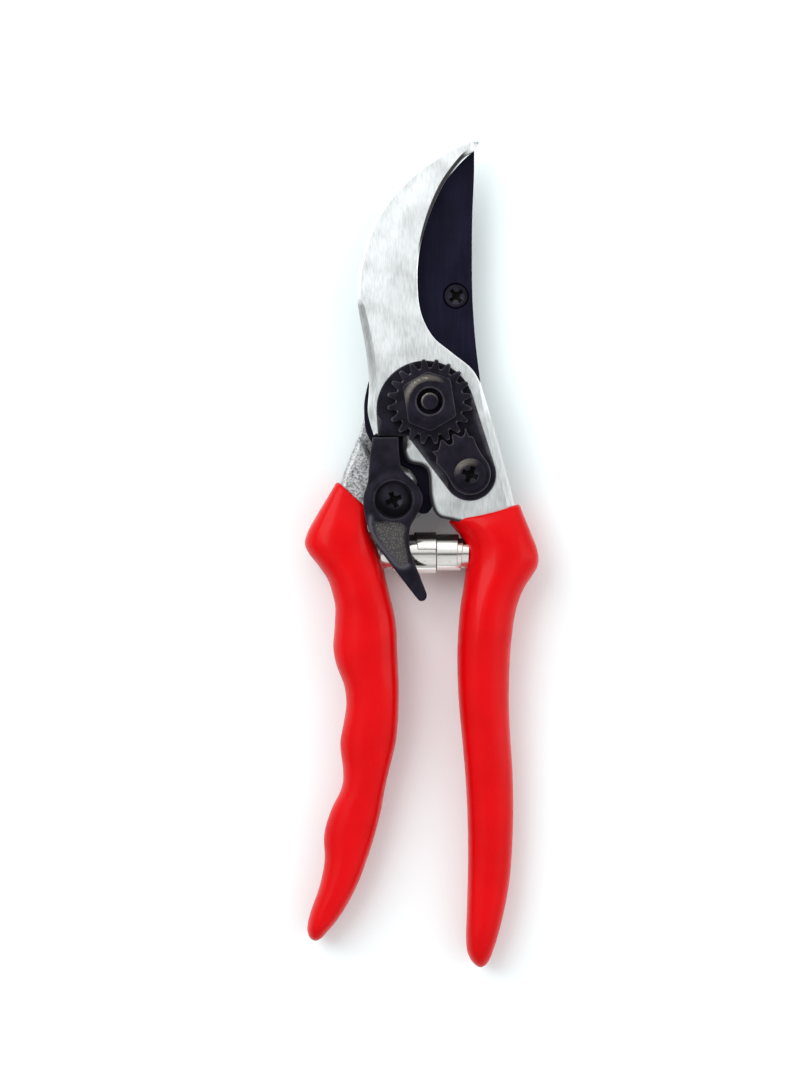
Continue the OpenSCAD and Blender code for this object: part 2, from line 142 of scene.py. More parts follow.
def curve(points, parts=12):
    """Smooth curve through the points: on each stretch from b to c, with neighbours a and d, the
    cubic that leaves b along c - a and reaches c along d - b."""
    p = np.asarray(points, float)
    p = np.vstack([p[:1], p, p[-1:]])
    a, b, c, d = (p[i:len(p) - 3 + i] for i in range(4))
    t = (np.arange(parts) / parts)[:, None, None]
    q = (b + t * (c - a) / 2 + t ** 2 * (2 * a - 5 * b + 4 * c - d) / 2
         + t ** 3 * (3 * b - a - 3 * c + d) / 2)
    return np.vstack([q.transpose(1, 0, 2).reshape(-1, p.shape[1]), p[-2:-1]])


def spaced(points, step):
    """The same line with its points an equal distance apart, at most step."""
    leg = np.linalg.norm(np.diff(points[:, :2], axis=0), axis=1)
    along = np.concatenate([[0], np.cumsum(leg)])
    at = np.linspace(0, along[-1], max(2, int(math.ceil(along[-1] / step)) + 1))
    return np.column_stack([np.interp(at, along, points[:, k]) for k in range(points.shape[1])])


def outline(*runs, width=0.3, step=0.45, clockwise=False):
    """Closed outline from smooth runs that meet at corners. A row is x, y and the width of the
    edge's rounding or chamfer there; a run of two columns takes the given width."""
    rows = []
    for run in runs:
        run = np.asarray(run, float)
        if run.shape[1] == 2:
            run = np.column_stack([run, np.full(len(run), width)])
        rows.append(spaced(curve(run) if len(run) > 2 else run, step))
    rows = np.vstack(rows)
    following = np.roll(rows, -1, axis=0)
    rows = rows[np.linalg.norm((following - rows)[:, :2], axis=1) > 0.02]
    rows[:, 2] = np.maximum(rows[:, 2], 0.02)
    x, y = rows[:, 0], rows[:, 1]
    area = np.sum(x * np.roll(y, -1) - y * np.roll(x, -1))
    return rows if (area > 0) != clockwise else rows[::-1]


def circle(centre, radius, width=0.2, step=0.35, first=0.0, last=360.0):
    """Points of a circle or an arc about the centre, as rows of an outline."""
    count = max(12, int(math.radians(abs(last - first)) * radius / step))
    a = np.radians(np.linspace(first, last, count + 1))
    return np.column_stack([centre[0] + radius * np.cos(a), centre[1] + radius * np.sin(a),
                            np.full(len(a), width)])


def inside(points, ring):
    """Whether each point is inside a ring: a line from it to the right crosses the ring an odd
    number of times."""
    x, y = points[:, :1], points[:, 1:2]
    x0, y0 = ring[:, 0], ring[:, 1]
    x1, y1 = np.roll(x0, -1), np.roll(y0, -1)
    tall = (y0 > y) != (y1 > y)
    cut = x0 + (y - y0) * (x1 - x0) / np.where(y1 == y0, 1e-9, y1 - y0)
    return (tall & (x < cut)).sum(axis=1) % 2 == 1


def to_edge(points, rings):
    """Distance from each point to the nearest ring, and the edge width at that nearest place."""
    best = np.full(len(points), 1e9)
    width = np.zeros(len(points))
    for ring in rings:
        a, b = ring, np.roll(ring, -1, axis=0)
        leg = (b - a)[:, :2]
        size = np.maximum((leg ** 2).sum(axis=1), 1e-12)
        for part in range(0, len(points), 1500):
            p = points[part:part + 1500, None, :2]
            t = np.clip(((p - a[:, :2]) * leg).sum(axis=2) / size, 0, 1)
            gap = np.linalg.norm(p - a[:, :2] - t[..., None] * leg, axis=2)
            k = gap.argmin(axis=1)
            rows = np.arange(len(k))
            near, share = gap[rows, k], t[rows, k]
            better = near < best[part:part + 1500]
            wide = a[k, 2] + share * (b[k, 2] - a[k, 2])
            best[part:part + 1500] = np.where(better, near, best[part:part + 1500])
            width[part:part + 1500] = np.where(better, wide, width[part:part + 1500])
    return best, width


def to_line(points, line):
    """Distance from each point to an open line, and how far along it the nearest place is, 0 to 1."""
    a, leg = line[:-1, :2], np.diff(line[:, :2], axis=0)
    size = np.maximum((leg ** 2).sum(axis=1), 1e-12)
    p = points[:, None, :2]
    t = np.clip(((p - a) * leg).sum(axis=2) / size, 0, 1)
    gap = np.linalg.norm(p - a - t[..., None] * leg, axis=2)
    k = gap.argmin(axis=1)
    rows = np.arange(len(k))
    length = np.sqrt(size)
    start = np.concatenate([[0], np.cumsum(length)])
    return gap[rows, k], (start[k] + t[rows, k] * length[k]) / start[-1]


def step_up(value, low, high):
    """0 below low, 1 above high, and a smooth rise between them."""
    t = np.clip((value - low) / (high - low), 0, 1)
    return t * t * (3 - 2 * t)


def bell(value, middle, width):
    """1 at the middle, falling as e to the minus square of how many widths the value is from it."""
    return np.exp(-((value - middle) / width) ** 2)


def away(points, centre=(0, 0)):
    """How far each point lies from an upright axis."""
    return np.hypot(points[:, 0] - centre[0], points[:, 1] - centre[1])


def facing(points, degrees):
    """Cosine of the angle, about the Z axis, between each point and a direction."""
    return np.cos(np.arctan2(points[:, 1], points[:, 0]) - math.radians(degrees))


def rounded(gap, radius):
    """How far a quarter-round edge lies below its face at that distance in from the edge."""
    inner = radius - np.minimum(gap, radius)
    return radius - np.sqrt(np.maximum(radius ** 2 - inner ** 2, 0))


def face(level, radius=None, up=True):
    """Flat face for a slab with a quarter-round edge of a radius, or of the edge width. The edge
    falls away from a face that looks up and rises from one that looks down."""
    side = -1 if up else 1
    return lambda p, gap, wide: level + side * rounded(gap, wide if radius is None else radius)


# ---- Shells ----

ROUND = ((0, 0), (0, 0.134), (0, 0.5), (0, 1), (0.15, 1))
CHAMFER = ((0, 0), (0, 0.5), (0, 1), (0.12, 1))


def slab(rings, top, bottom, offsets=ROUND, spacing=1.2, extra=()):
    """Closed plate between two heights over an outline with holes. Its points are the outline,
    copies of it moved inwards by each offset (a plus b times the edge width), any extra rows and a
    triangular grid; its heights are functions of place, distance to the edge and edge width."""
    points = [ring[:, :2] for ring in rings]
    for a, b in offsets[1:]:
        for ring in rings:
            along = (np.roll(ring, -1, axis=0) - np.roll(ring, 1, axis=0))[:, :2]
            along /= np.maximum(np.linalg.norm(along, axis=1, keepdims=True), 1e-9)
            move = a + b * ring[:, 2]
            moved = ring[:, :2] + move[:, None] * np.column_stack([-along[:, 1], along[:, 0]])
            keep = inside(moved, rings[0]) & (to_edge(moved, rings)[0] > 0.97 * move)
            points.append(moved[keep])
    deepest = max(a + b * max(ring[:, 2].max() for ring in rings) for a, b in offsets)
    low, high = rings[0][:, :2].min(axis=0), rings[0][:, :2].max(axis=0)
    gx, gy = np.meshgrid(np.arange(low[0], high[0], spacing),
                         np.arange(low[1], high[1], spacing * 0.866))
    gx[1::2] += spacing / 2
    grid = np.column_stack([gx.ravel(), gy.ravel()])
    for rows in extra:
        keep = inside(rows, rings[0]) & (to_edge(rows, rings)[0] > 0.1)
        rows = rows[keep]
        if len(rows):
            points.append(rows[:, :2])
            apart = np.linalg.norm(grid[:, None] - rows[None, :, :2], axis=2).min(axis=1)
            grid = grid[apart > 0.45 * spacing]
    gap, wide = to_edge(grid, rings)
    reach = max(a + b for a, b in offsets) * wide + max(a for a, b in offsets)
    keep = inside(grid, rings[0]) & (gap > np.minimum(reach, deepest) + 0.4 * spacing)
    points.append(grid[keep])
    edges, start = [], 0
    for ring in rings:
        index = np.arange(len(ring)) + start
        edges += np.column_stack([index, np.roll(index, -1)]).tolist()
        start += len(ring)
    flat = [Vector(row) for row in np.vstack(points).tolist()]
    verts, _, tris, *_ = delaunay_2d_cdt(flat, edges, [], 1, 1e-5)
    p = np.array([v[:] for v in verts])
    tris = np.array(tris)
    centres = p[tris].mean(axis=1)
    keep = inside(centres, rings[0])
    for hole in rings[1:]:
        keep &= ~inside(centres, hole)
    tris = tris[keep]
    leg1, leg2 = p[tris[:, 1]] - p[tris[:, 0]], p[tris[:, 2]] - p[tris[:, 0]]
    wrong = leg1[:, 0] * leg2[:, 1] - leg1[:, 1] * leg2[:, 0] < 0
    tris[wrong] = tris[wrong][:, ::-1]
    used, tris = np.unique(tris, return_inverse=True)
    p, tris = p[used], tris.reshape(-1, 3)
    gap, wide = to_edge(p, rings)
    gap[gap < 1e-3] = 0
    upper, lower = (np.column_stack([p, height(p, gap, wide)]) for height in (top, bottom))
    sides = np.vstack([tris[:, [0, 1]], tris[:, [1, 2]], tris[:, [2, 0]]])
    code = sides[:, 0] * len(p) + sides[:, 1]
    open_sides = sides[~np.isin(code, sides[:, 1] * len(p) + sides[:, 0])]
    rim, where = np.unique(open_sides, return_inverse=True)
    where = where.reshape(-1, 2)
    band = np.minimum(0.3, 0.3 * (upper[rim, 2] - lower[rim, 2]))[:, None] * [0, 0, 1]
    count = len(p)
    first = rim[where]
    rows = [first, where + 2 * count, where + 2 * count + len(rim), first + count]
    walls = [np.column_stack([a, b[:, ::-1]])[:, [0, 3, 2, 1]] for a, b in zip(rows, rows[1:])]
    every = np.vstack([upper, lower, upper[rim] - band, lower[rim] + band])
    faces = tris.tolist() + (tris[:, ::-1] + count).tolist() + np.vstack(walls).tolist()
    edge = np.concatenate([bell(gap, 0, 0.16), 0 * gap, np.zeros(2 * len(rim))])
    return every, faces, edge


def tube(rings):
    """Closed skin carried through a row of closed rings, with each end drawn to a point at the
    middle of its ring."""
    rings = np.asarray(rings, float)
    rows, around = rings.shape[:2]
    index = np.arange(rows * around).reshape(rows, around)
    a, b = index[:-1], index[1:]
    quads = np.stack([a, np.roll(a, -1, 1), np.roll(b, -1, 1), b], axis=-1).reshape(-1, 4)
    points = np.vstack([rings.reshape(-1, 3), rings[[0, -1]].mean(axis=1)])
    faces, last = quads.tolist(), rows * around
    for ring, pole in ((index[0][::-1], last), (index[-1], last + 1)):
        faces += np.column_stack([ring, np.roll(ring, -1), np.full(around, pole)]).tolist()
    # The faces are turned round if the volume they enclose comes out negative
    tris = np.array([(f[0], f[i], f[i + 1]) for f in faces for i in range(1, len(f) - 1)])
    a, b, c = (points[tris[:, k]] for k in range(3))
    if np.einsum("ij,ij->i", a, np.cross(b, c)).sum() < 0:
        faces = [f[::-1] for f in faces]
    return points, faces, np.zeros(len(points))


def turned(rows, around=96):
    """Skin about the Z axis: each row is a radius and a height, either of which may follow the
    angle round the axis."""
    a = np.linspace(0, 2 * math.pi, around, endpoint=False)
    return tube(np.stack([np.stack([r * np.cos(a), r * np.sin(a), z + 0 * a], axis=-1)
                          for r, z in rows]))


def joined(*shells):
    """Several shells as one."""
    points, faces, edge, start = [], [], [], 0
    for p, f, e in shells:
        points.append(p)
        faces += [[i + start for i in face] for face in f]
        edge.append(e)
        start += len(p)
    return np.vstack(points), faces, np.concatenate(edge)


def piece(name, body, slot, finish, shell, replaces=(), crease=32, rides=True, **marks):
    """Puts a shell into the scene as one object of the frame, with its marks as point attributes."""
    points, faces, edge = shell
    mesh = bpy.data.meshes.new(name)
    mesh.from_pydata((points * MM).tolist(), [], faces)
    for mark, values in {"edge": edge, **marks}.items():
        layer = mesh.attributes.new(mark, "FLOAT", "POINT")
        layer.data.foreach_set("value", np.asarray(values, np.float32))
    mesh.shade_smooth()
    mesh.set_sharp_from_angle(angle=math.radians(crease))
    mesh.materials.append(finish)
    mesh.update()
    obj = bpy.data.objects.new(name, mesh)
    bpy.context.scene.collection.objects.link(obj)
    if rides:
        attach(obj, body)
    if replaces:
        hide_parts(*replaces)
    return obj


# ---- Finishes ----

def add_node(tree, kind, options=None, inputs=None):
    """Outputs of a new node with the given options, its inputs linked from a socket or set."""
    made = tree.nodes.new(kind)
    for key, value in (options or {}).items():
        setattr(made, key, value)
    for key, value in (inputs or {}).items():
        if isinstance(value, bpy.types.NodeSocket):
            tree.links.new(value, made.inputs[key])
        else:
            made.inputs[key].default_value = value
    return made.outputs


class Value:
    """A number that varies over a surface. Arithmetic on it adds the nodes that work it out."""

    def __init__(self, finish, socket):
        self.finish, self.socket = finish, socket

    def do(self, operation, a, b):
        return self.finish.node("ShaderNodeMath", {"operation": operation}, {0: a, 1: b})

    def __add__(self, other):
        return self.do("ADD", self, other)

    def __sub__(self, other):
        return self.do("SUBTRACT", self, other)

    def __rsub__(self, other):
        return self.do("SUBTRACT", other, self)

    def __mul__(self, other):
        return self.do("MULTIPLY", self, other)


class Finish:
    """A material built from nodes around one Principled shader, on the object's own coordinates."""

    def __init__(self, name, **constants):
        self.material = bpy.data.materials.new(name)
        self.material.use_nodes = True
        self.tree = self.material.node_tree
        self.shader = self.tree.nodes["Principled BSDF"]
        for name, value in constants.items():
            self.input(name).default_value = value
        self.place = self.node("ShaderNodeTexCoord", output="Object")

    def node(self, kind, options=None, inputs=None, output=0):
        inputs = {key: getattr(value, "socket", value) for key, value in (inputs or {}).items()}
        return Value(self, add_node(self.tree, kind, options, inputs)[output])

    def input(self, name):
        return self.shader.inputs[name.replace("_", " ").title().replace("Ior", "IOR")]

    def noise(self, size, detail=2.0, roughness=0.5, stretch=(1, 1, 1), turn=0.0):
        """Noise whose features are about size millimetres, longer along an axis whose stretch is
        above 1."""
        place = self.place
        if stretch != (1, 1, 1) or turn:
            place = self.node("ShaderNodeMapping", {}, {"Vector": self.place, "Rotation": (0, 0, turn)})
            place = self.node("ShaderNodeMapping", {},
                              {"Vector": place, "Scale": tuple(1 / s for s in stretch)})
        return self.node("ShaderNodeTexNoise", {}, {
            "Vector": place, "Scale": 1000 / size, "Detail": detail, "Roughness": roughness}, "Fac")

    def between(self, value, low=0.3, high=0.7, to_low=0.0, to_high=1.0):
        """The value carried smoothly from the range low..high to the range to_low..to_high."""
        return self.node("ShaderNodeMapRange", {"interpolation_type": "SMOOTHSTEP"}, {
            "Value": value, "From Min": low, "From Max": high, "To Min": to_low, "To Max": to_high})

    def mark(self, name):
        """A piece's point attribute of that name, which is 0 on a piece without it."""
        return self.node("ShaderNodeAttribute", {"attribute_name": name}, output="Fac")

    def blend(self, share, a, b):
        """Colour a where the share is 0 and b where it is 1."""
        a, b = ((*c, 1) if isinstance(c, tuple) and len(c) == 3 else c for c in (a, b))
        return self.node("ShaderNodeMix", {"data_type": "RGBA"}, {0: share, 6: a, 7: b}, 2)

    def shades(self, share, colour, first, second):
        """The colour scaled by the first number where the share is 0 and by the second at 1."""
        return self.blend(share, tint(colour, first), tint(colour, second))

    def bump(self, height, microns, below=None):
        """Normal of a relief that many micrometres high, on top of the one below."""
        inputs = {"Strength": 1.0, "Distance": microns * 1e-6, "Height": height}
        if below:
            inputs["Normal"] = below
        return self.node("ShaderNodeBump", {}, inputs)

    def wear(self, **looks):
        """Links each look to the shader's socket of that name."""
        for name, value in looks.items():
            self.tree.links.new(value.socket, self.input(name))
        return self.material


def tint(colour, factor):
    return tuple(min(1.0, c * factor) for c in colour)


def vinyl_finish(settings):
    """Dipped vinyl: glossy, faintly mottled, with a soft ripple and small scuffs."""
    red = tuple(settings.vinyl)
    f = Finish("glossy red vinyl", coat_roughness=0.14, specular_ior_level=0.07)
    mottle = f.noise(9, 3)
    colour = f.shades(f.between(mottle), red, 0.95, 1.04)
    scuffs = f.between(f.noise(0.5, 4, 0.7, (1, 6, 1), 0.2), 0.62, 0.74)
    colour = f.blend(scuffs * 0.05, colour, (0.8, 0.15, 0.14))
    rough = f.between(f.noise(4, 3), 0.3, 0.75, 1.02 - settings.vinyl_gloss, 1.16 - settings.vinyl_gloss)
    ripple = f.bump(f.noise(5.5, 2), 55)
    grain = f.bump(f.noise(0.55, 2), 2.2, ripple)
    return f.wear(base_color=colour, roughness=rough + scuffs * 0.12, normal=grain,
                  coat_weight=f.between(mottle, 0.2, 0.8, 0.08, 0.12))


def steel_finish(settings, depth):
    """Bright steel ground along the plate, with fine lines and a few deeper ones, both painted lighter
    towards the tip as painted light. A mark called bevel darkens the chamfers as painted shade, and one
    called scale paints near-black painted shade along the notch and the bite."""
    steel = tuple(settings.steel)
    f = Finish("ground hook steel")
    fine = f.noise(0.3, 3, 0.65, (1, 9, 1), -0.05)
    coarse = f.noise(0.7, 3, 0.6, (1, 12, 1), 0.03)
    cloud = f.noise(7, 3)
    deep = f.between(f.noise(0.4, 3, 0.65, (1, 14, 1), 0.08), 0.66, 0.76)
    lines = fine * 0.75 + coarse * 0.25
    along = f.node("ShaderNodeSeparateXYZ", {}, {0: f.place}, "Y")
    # Painted light: both tones of the lines are painted lighter towards the tip and darker low on the
    # plate
    ground = f.shades(f.between(along, -0.035, 0.065), steel, 0.86, 1.13)
    shade = f.shades(f.between(along, -0.02, 0.06), steel, 0.72, 0.96)
    colour = f.blend(f.between(lines, 0.4, 0.58) * 0.85, shade, ground)
    colour = f.blend(f.between(cloud, 0.4, 0.7) * 0.15, colour, tint(steel, 0.85))
    colour = f.blend(deep * 0.4, colour, tint(steel, 0.55))
    # Painted shade: the chamfers marked bevel are painted darker
    colour = f.blend(f.mark("bevel") * f.between(lines, 0.3, 0.7, 1.0, 0.7), colour, tint(steel, 0.37))
    # Painted highlight: a pale line along the plate's top edge
    colour = f.blend(f.mark("edge") * 0.25, colour, (0.93, 0.94, 0.95))
    # Painted shade: near black where the mark called scale lies, along the notch and the bite
    scale = f.mark("scale")
    colour = f.blend(scale, colour, (0.011, 0.008, 0.010))
    normal = f.bump(lines, depth)
    return f.wear(base_color=colour, normal=normal, metallic=1 - scale * 0.9,
                  roughness=f.between(cloud + fine * 0.5, 0.45, 1.0, 0.30, 0.42) + scale * 0.2)


def cast_finish(settings):
    """Bright casting: speckled grey, rough as it left the mould, rubbed smoother at its edges."""
    grey = tuple(settings.cast)
    f = Finish("rough casting", metallic=0.9)
    grit = f.noise(0.6, 4, 0.7)
    lumps = f.noise(1.6, 3, 0.6)
    colour = f.shades(f.between(grit), grey, 0.3, 1.6)
    scratch = f.between(f.noise(0.35, 3, 0.6, (1, 9, 1), 0.6), 0.64, 0.72)
    colour = f.blend(scratch * 0.5, colour, (0.85, 0.85, 0.86))
    colour = f.blend(f.mark("edge") * 0.7, colour, (0.78, 0.79, 0.8))
    normal = f.bump(grit, 26, f.bump(lumps, 90))
    return f.wear(base_color=colour, normal=normal, roughness=f.between(grit, 0.3, 0.7, 0.34, 0.62))


def oxide_finish(settings, name="black oxide", worn=1.0, pebble=0.0):
    """Black oxide on steel: near black with a violet cast, thin rubbed edges that on some pieces also
    carry painted highlight, and bare patches and painted glints where the mark called wear asks for them,
    which the pieces put mostly on their side towards the light. The mark hollow blackens recesses as
    painted shade, pad adds a lighter pebbled grain with painted glints on its pebble tops, and ridge a
    greyer rubbed line."""
    black = tuple(settings.oxide)
    f = Finish(name, specular_ior_level=0.06)
    fleck = f.noise(0.5, 4, 0.65)
    cloud = f.noise(3.5, 3)
    colour = f.shades(f.between(cloud), black, 0.7, 1.5)
    colour = f.blend(f.between(fleck, 0.6, 0.75) * 0.25, colour, (0.07, 0.065, 0.07))
    # Worn edges; on the screw heads and the catch the edge mark is also a painted highlight
    edge_wear_and_sheen = f.mark("edge") * f.between(fleck + cloud, 0.7, 1.15, 0.25, 1.0) * worn
    colour = f.blend(edge_wear_and_sheen * 0.55, colour, (0.16, 0.155, 0.17))
    # Bare patches where the mark called wear lies; the pieces put it mostly on their side towards the
    # light, so it is partly painted highlight
    bare = f.between(f.mark("wear") * (fleck + 0.5), 0.2, 0.95)
    colour = f.blend(bare, colour, (0.115, 0.105, 0.095))
    # Painted highlight: bright glints where the mark called wear is strong
    glint = f.between(f.mark("wear") * f.noise(0.6, 5, 0.75), 0.5, 0.62)
    colour = f.blend(glint, colour, (0.62, 0.60, 0.55))
    # Painted shade: recesses painted near black
    colour = f.blend(f.mark("hollow"), colour, (0.0008, 0.0008, 0.001))
    metal = f.between(edge_wear_and_sheen + bare, 0.1, 1.0, 0.0, 0.75)
    rough = f.between(fleck, 0.3, 0.7, 0.42, 0.56)
    normal = f.bump(fleck, 9)
    if pebble:
        grain = f.node("ShaderNodeTexVoronoi", {"feature": "SMOOTH_F1"},
                       {"Vector": f.place, "Scale": 1000 / 0.42, "Smoothness": 0.6}, "Distance")
        pad = f.mark("pad")
        heights = pad * (1 - grain)
        normal = f.bump(heights, pebble, normal)
        colour = f.blend(pad * 0.9, colour, (0.06, 0.056, 0.056))
        # Painted glints on the tops of the pebbles
        colour = f.blend(pad * f.between(grain, 0.46, 0.12) * 0.7, colour, (0.17, 0.162, 0.158))
        colour = f.blend(f.mark("ridge") * 0.9, colour, (0.078, 0.078, 0.095))
        rough = rough + pad * 0.08
    return f.wear(base_color=colour, metallic=metal, roughness=rough, normal=normal)


def blade_finish(settings):
    """Non-stick blade coating: blue-black satin, barely streaked along the blade, with painted shade along
    its outline and round its screw.
    """
    black = tuple(settings.coating)
    f = Finish("coated blade", specular_ior_level=0.06)
    streak = f.noise(0.7, 3, 0.6, (1, 14, 1), 0.02)
    cloud = f.noise(6, 3)
    colour = f.shades(f.between(streak * 0.5 + cloud * 0.5, 0.35, 0.65), black, 0.8, 1.35)
    # Painted shade: a near-black line along the blade's outline and round the screw's seat
    colour = f.blend(f.mark("edge") * 0.6, colour, (0.002, 0.002, 0.003))
    bare = f.mark("bare")
    colour = f.blend(bare, colour, (0.55, 0.56, 0.58))
    return f.wear(base_color=colour, metallic=bare, normal=f.bump(streak, 3),
                  roughness=f.between(cloud, 0.3, 0.7, 0.36, 0.46))


def turned_finish(name, colour, dull, streaks):
    """Small turned metal parts: fine lines and slight staining."""
    f = Finish(name, metallic=1.0)
    line = f.noise(streaks, 3, 0.6, (1, 1, 6))
    cloud = f.noise(2.5, 3)
    look = f.shades(f.between(line, 0.35, 0.65), colour, 0.82, 1.12)
    look = f.blend(f.between(cloud, 0.5, 0.8) * 0.5, look, tint(colour, 0.6))
    return f.wear(base_color=look, normal=f.bump(line, 5),
                  roughness=f.between(cloud, 0.3, 0.7, dull, dull + 0.12))


def spring_finish():
    """Nickel-plated strip: bright, with faint rolling lines along the strip and warm tarnish. Its sides
    are dull and painted dark grey as painted shade in the seams between turns, and at the mark called
    scale it is painted near black as painted shade."""
    f = Finish("nickel strip")
    line = f.noise(1.2, 3, 0.6, (8, 1, 1))
    cloud = f.noise(2.2, 3)
    colour = f.blend(f.between(line, 0.35, 0.65), (0.88, 0.87, 0.83), (0.97, 0.96, 0.93))
    colour = f.blend(f.between(cloud, 0.52, 0.75) * 0.35, colour, (0.72, 0.66, 0.56))
    side, scale = f.mark("edge"), f.mark("scale")
    # Painted shade: the strip's sides are painted dark grey, for the dark seams between turns
    colour = f.blend(side * 0.9, colour, (0.12, 0.12, 0.12))
    # Painted shade where the mark called scale lies
    colour = f.blend(scale, colour, (0.012, 0.008, 0.009))
    return f.wear(base_color=colour, normal=f.bump(cloud, 10),
                  metallic=(1 - side * 0.8) * (1 - scale * 0.9),
                  roughness=f.between(line, 0.3, 0.7, 0.09, 0.17) + side * 0.5 + scale * 0.3)


def floor_finish():
    """Pale matt floor with the faintest mottling."""
    f = Finish("pale floor", specular_ior_level=0.1)
    colour = f.blend(f.noise(60, 2), (0.855, 0.93, 0.94), (0.87, 0.945, 0.955))
    return f.wear(base_color=colour, roughness=f.between(f.noise(25, 2), 0.3, 0.7, 0.7, 0.8))


def finish_of(maker, *arguments, **named):
    """The finish a maker gives, made once however many pieces share it."""
    key = maker.__name__ + repr(arguments[1:]) + repr(sorted(named.items()))
    if key not in FINISHES:
        FINISHES[key] = maker(*arguments, **named)
    return FINISHES[key]


FINISHES = {}


# ---- Hook plate ----

HOOK_BACK = [
    (10.9, 64.8, 0.5), (3.8, 61.5, 0.5), (-5.7, 54.6, 0.5), (-13.2, 45.2, 0.6), (-17.2, 33, 0.6),
    (-17.6, 26, 0.8), (-17.45, 22.5, 1.6), (-15.8, 13.5, 1.9), (-14.9, 4.6, 1.8), (-15.2, -2.5, 1.5),
    (-13.7, -8.2, 0.8),
]
HOOK_FOOT = [(-13.7, -8.2, 0.5), (-6.5, -8.4, 0.5)]
HOOK_NOTCH = [
    (-6.5, -8.4, 0.9), (-6.5, -12.1, 0.95), (-5.1, -14.8, 1), (-1.6, -15.8, 1), (-0.2, -18, 1),
    (0.2, -23.9, 1), (2, -28, 1), (6, -29.2, 1), (9.6, -30.5, 0.8), (13, -34, 0.6),
]
HOOK_ROOT = [(13, -34, 0.5), (21.4, -34, 1.7)]
HOOK_NECK = [(21.4, -34, 1.8), (21, -25.9, 1.8), (17.7, -13, 1.8), (15.2, -4, 1.45), (12.5, 4.8, 0.45)]
HOOK_BITE = [
    (12.5, 4.8, 0.45), (10.2, 8.4, 0.42), (5.2, 12.4, 0.35), (0.7, 16.3, 0.25), (-2.2, 22.3, 0.15),
    (-3, 30.2, 0.15), (-2.35, 38, 0.35), (-0.1, 46, 0.6), (3.4, 53.7, 0.75), (7.7, 59.6, 0.75),
    (10.4, 61.7, 1.0), (11.3, 62.5, 1.3), (12.5, 64.2, 1.3),
]
HOOK_TIP = [(12.5, 64.2, 0.6), (10.9, 64.8, 0.6)]
LOWER_NECK = [
    (7, -28), (5.4, -24.5), (7.5, -21.4), (13, -20.6), (18.6, -21), (20.4, -26), (21, -32),
    (17.5, -35), (12.4, -33), (7, -28),
]


def hook_plate_shell():
    """Plate with a chamfer whose depth is 0.55 of its width, wide along the back and the neck and
    narrow at the bite, and a small round under it; below it the thicker root at the grip. Also gives
    each point's share of the wide chamfers, which are darkened as painted shade, and of the painted
    shade along the notch and the bite."""
    rings = [outline(HOOK_BACK, HOOK_FOOT, HOOK_NOTCH, HOOK_ROOT, HOOK_NECK, HOOK_BITE, HOOK_TIP)]

    crown = 0.12

    def top(p, gap, wide):
        sunk = 0.55 * wide * np.clip(1 - gap / wide, 0, 1)
        return HOOK_TOP - crown - sunk + crown * step_up(gap, 0, 9)

    plate = slab(rings, top, face(HOOK_LOW, 0.3, up=False), CHAMFER, 1.3)
    root = slab([outline(LOWER_NECK, width=0.6, step=0.6)], face(HOOK_LOW + 1, 0),
                face(ROOT_LOW, 0.6, up=False), ROUND, 2)
    points, faces, edge = joined(plate, root)
    gap, wide = to_edge(points, rings)
    # Painted shade: a near-black band along the notch and a dark line along the bite's edge, both marked
    # scale
    notch, _ = to_line(points, curve(HOOK_FOOT[:1] + HOOK_NOTCH))
    scale = (1 - step_up(notch, 0.85, 1.02)) * (points[:, 1] > -33) * (points[:, 1] < -7.8)
    bite, along = to_line(points, curve(HOOK_BITE[5:11]))
    dark = (1 - step_up(bite, wide, wide + 0.1)) * step_up(along, 0.1, 0.3) * (1 - step_up(along, 0.93, 1))
    scale = np.maximum(scale, dark * (bite < 1) * (points[:, 2] > HOOK_TOP - 0.7))
    # Painted shade on the wide chamfers, weaker on the right-hand neck than on the left-hand back
    bevel = (1 - step_up(gap, wide - 0.05, wide + 0.15)) * step_up(wide, 1.1, 1.5) * (1 - scale)
    bevel *= np.where(points[:, 0] > 0, 0.7, 1)
    return (points, faces, edge), bevel, scale


# ---- Cutting blade ----

BLADE_EDGE = [
    (-9, 12.2), (-5, 15.6), (-4.9, 21), (-5.8, 28), (-5.3, 36), (-3.6, 42), (-0.6, 48.2),
    (3.6, 54.4), (7.6, 59.2), (11.1, 62.4),
]
BLADE_BACK = [
    (11.1, 62.4), (11, 55.6), (10.6, 46), (10.5, 36.7), (10.6, 27), (11, 19.7), (11.6, 13),
    (12.6, 5), (13.2, -1), (11.5, -7.5), (6.5, -12.3), (2.3, -15.8), (1.4, -20), (1.1, -24.6),
    (-0.4, -27.2), (-2.4, -27.2), (-3.3, -25), (-3, -20), (-4.4, -16.9), (-8, -15), (-12, -12.4),
    (-15.3, -8), (-16.1, -3.5), (-15.9, 1.5), (-14, 7.4), (-9, 12.2),
]
# How far the ground bevel reaches in from the edge
BEVEL_REACH = 4.5


